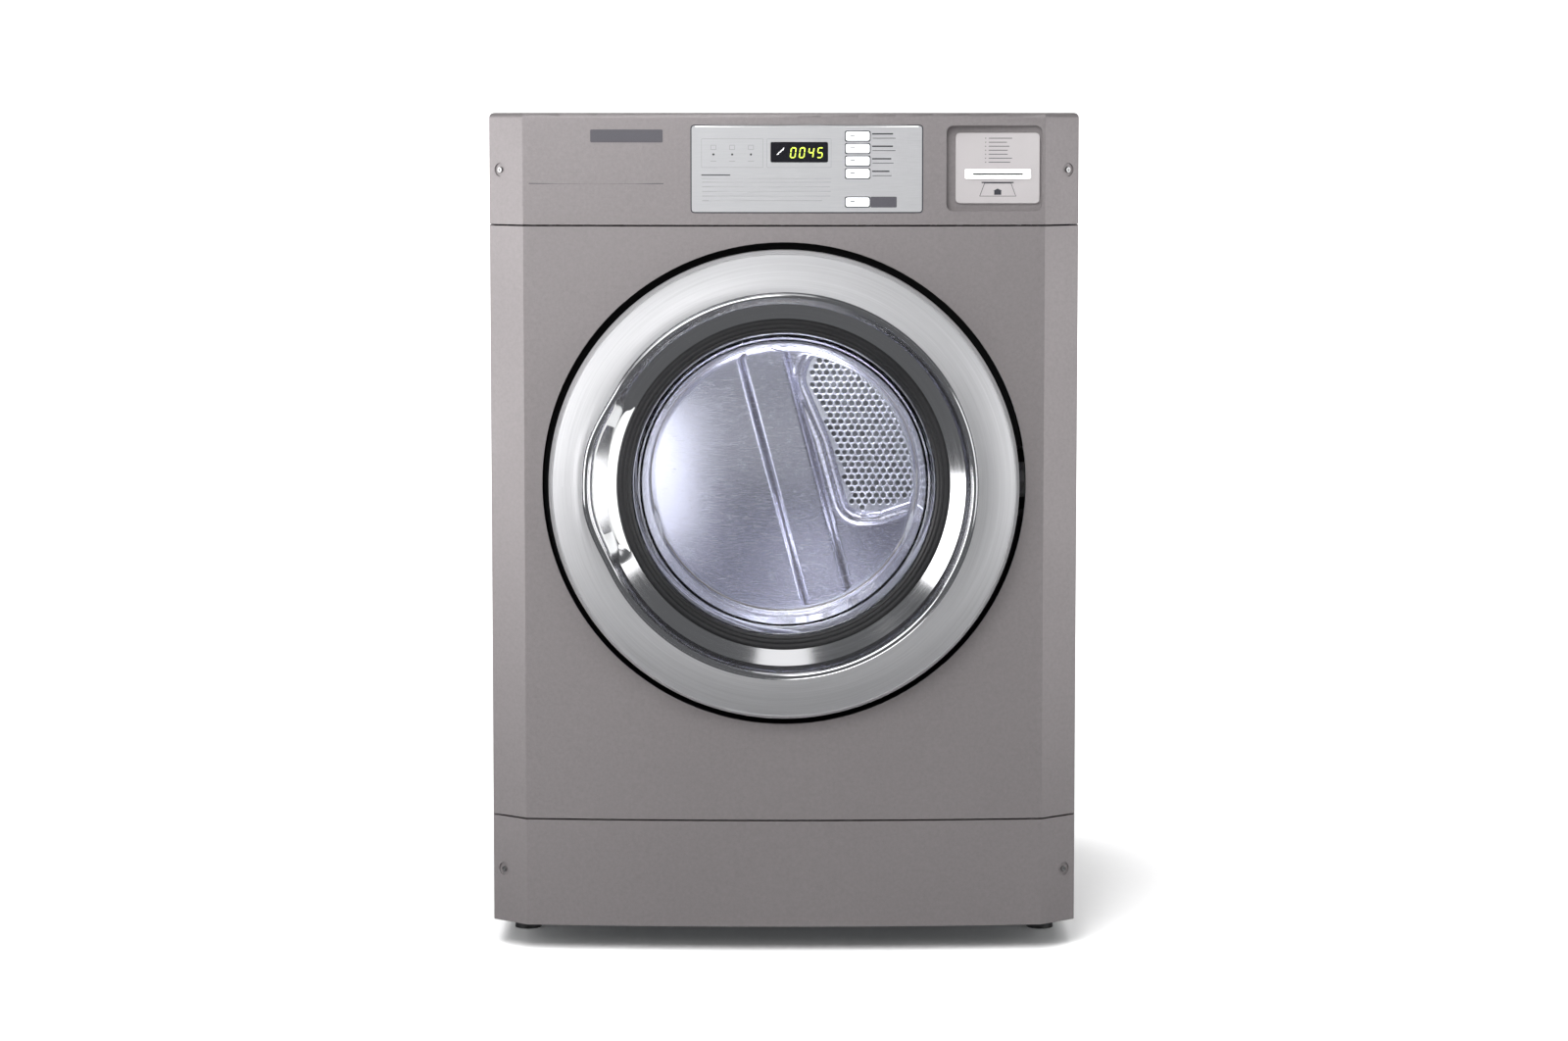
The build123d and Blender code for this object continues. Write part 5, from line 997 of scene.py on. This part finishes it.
def reader_print():
    """Plain rows and a card pictogram on the reader plate."""
    made = bmesh.new()
    plate_y = reader_low.y

    def flat(x):
        return plate_y

    top = reader_high.z - 6.2
    for i, length in enumerate(READER_ROWS):
        z = top - READER_ROW_PITCH * i
        bar(made, READER_DOT_X, READER_DOT_X + 1, z, 1.0, TOUCH_LIFT, flat)
        bar(made, READER_TEXT_X, READER_TEXT_X + length, z, 0.75, TOUCH_LIFT, flat)
    card = [(226.0, CARD_LOW), (268.5, CARD_LOW), (262.8, CARD_HIGH), (231.7, CARD_HIGH)]
    inside = [(226.8, CARD_LOW + 0.5), (267.7, CARD_LOW + 0.5),
              (262.3, CARD_HIGH - 0.5), (232.2, CARD_HIGH - 0.5)]
    mark(made, card, TOUCH_LIFT, inside, flat)
    mark(made, CARD_ARROW, TOUCH_LIFT, None, flat)
    bar(made, 228.5, 265.5, 902.6, 1.5, TOUCH_LIFT, flat)
    return finished_mesh("reader_print_dark", made, ink.material, "cabinet", (), 30)


for make in (panel_ink, panel_lines, panel_light_lines, label_plates, button_dashes, digits, display_icon,
             reader_print):
    make()

# ---- light, floor and camera ------------------------------------------------------------------

CAMERA_DISTANCE = 4.412
LENS_MM = 80.75
SENSOR_MM = 36.0
HORIZON_ABOVE_MIDDLE = 0.26
SHIFT = 0.08
SKY_COLOR = (0.95, 0.97, 1.0, 1)
SKY_STRENGTH = 0.12
DRUM_LAMP_COLOR = (0.9, 0.92, 1.0)
DRUM_CARD_COLOR = (0.93, 0.95, 1.0)


def softbox(name, at, aim, width, height, power, color=(1, 1, 1), glossy=True):
    """A rectangular lamp that the camera never sees; without glossy it leaves no reflection either."""
    data = bpy.data.lights.new(name, "AREA")
    data.shape = "RECTANGLE"
    data.size = width
    data.size_y = height
    data.energy = power
    data.color = color
    lamp = bpy.data.objects.new(name, data)
    bpy.context.scene.collection.objects.link(lamp)
    lamp.location = at
    lamp.rotation_euler = (Vector(aim) - Vector(at)).to_track_quat("-Z", "Y").to_euler()
    lamp.visible_camera = False
    lamp.visible_glossy = glossy
    return lamp


bpy.context.scene.view_settings.view_transform = "Standard"
world = bpy.data.worlds.new("studio")
bpy.context.scene.world = world
world.use_nodes = True
sky = world.node_tree.nodes["Background"]
sky.inputs["Color"].default_value = SKY_COLOR
sky.inputs["Strength"].default_value = SKY_STRENGTH

softbox("key_softbox", (-0.5, -2.0, 1.95), (0, -0.38, 0.85), 1.3, 1.2, 53, glossy=False)
softbox("left_strip", (-1.6, -1.5, 0.78), (0, -1.5, 0.78), 2.5, 1.15, 22)
softbox("right_strip", (1.6, -1.45, 0.64), (0, -1.45, 0.64), 2.3, 1.15, 13)
softbox("top_strip", (0, -1.5, 2.15), (0, -1.5, 0), 0.6, 2.2, 3.6)
softbox("ring_glow", (-0.6, -2.6, 1.45), (0, -0.38, 0.6), 1.2, 0.8, 6.5)
softbox("overhead_fill", (-0.2, -1.7, 3.0), (0, -0.2, 0.7), 2.4, 1.4, 56, glossy=False)
softbox("back_softbox", (0, 2.2, 3.4), (0, 3.2, 0.6), 5.0, 2.0, 210, glossy=False)
softbox("floor_softbox", (0, -3.6, 3.2), (0, -3.2, 0), 3.4, 1.6, 44, glossy=False)
softbox("drum_lamp", (0.0, 0.02, 0.82), (0.02, 0.29, 0.5), 0.30, 0.14, 1.9, DRUM_LAMP_COLOR)
for name, at, width, height, power in (
    ("drum_reflection_left", (-0.22, -0.222, 0.365), 0.12, 0.38, 0.42),
    ("drum_reflection_low", (0.05, -0.222, 0.31), 0.12, 0.07, 0.02),
):
    card = softbox(name, at, (at[0], 1.0, at[2]), width, height, power, DRUM_CARD_COLOR)
    card.visible_transmission = False

FLOOR_HALF = 9.0
SWEEP_WALL_Y = 4.0
SWEEP_TOP = 6.0
BEND_R = 1.6
BEND_STEPS = 16


def backdrop():
    """A pale sweep: level floor, a quarter bend, and a wall far behind."""
    mesh = bpy.data.meshes.new("floor_sweep")
    made = bmesh.new()
    path = [(-FLOOR_HALF, 0.0), (SWEEP_WALL_Y - BEND_R, 0.0)]
    for i in range(1, BEND_STEPS + 1):
        turn = i / BEND_STEPS * pi / 2
        path.append((SWEEP_WALL_Y - BEND_R + BEND_R * sin(turn), BEND_R - BEND_R * cos(turn)))
    path.append((SWEEP_WALL_Y, SWEEP_TOP))
    rows = [[made.verts.new((x, y, z)) for x in (-FLOOR_HALF, FLOOR_HALF)] for y, z in path]
    for low, high in zip(rows, rows[1:]):
        made.faces.new((low[0], low[1], high[1], high[0]))
    made.to_mesh(mesh)
    made.free()
    mesh.shade_smooth()
    thing = bpy.data.objects.new("floor_sweep", mesh)
    bpy.context.scene.collection.objects.link(thing)
    mesh.materials.append(paper.material)
    thing.visible_glossy = False
    return thing


backdrop()

camera_data = bpy.data.cameras.new("camera")
camera = bpy.data.objects.new("camera", camera_data)
bpy.context.scene.collection.objects.link(camera)
bpy.context.scene.camera = camera
camera_data.lens = LENS_MM
camera_data.sensor_width = SENSOR_MM
camera_data.shift_y = -SHIFT
pitch = atan((HORIZON_ABOVE_MIDDLE - SHIFT) * SENSOR_MM / LENS_MM)
camera.location = (0, -CAMERA_DISTANCE, HEIGHT)
camera.rotation_euler = (pi / 2 - pitch, 0, 0)
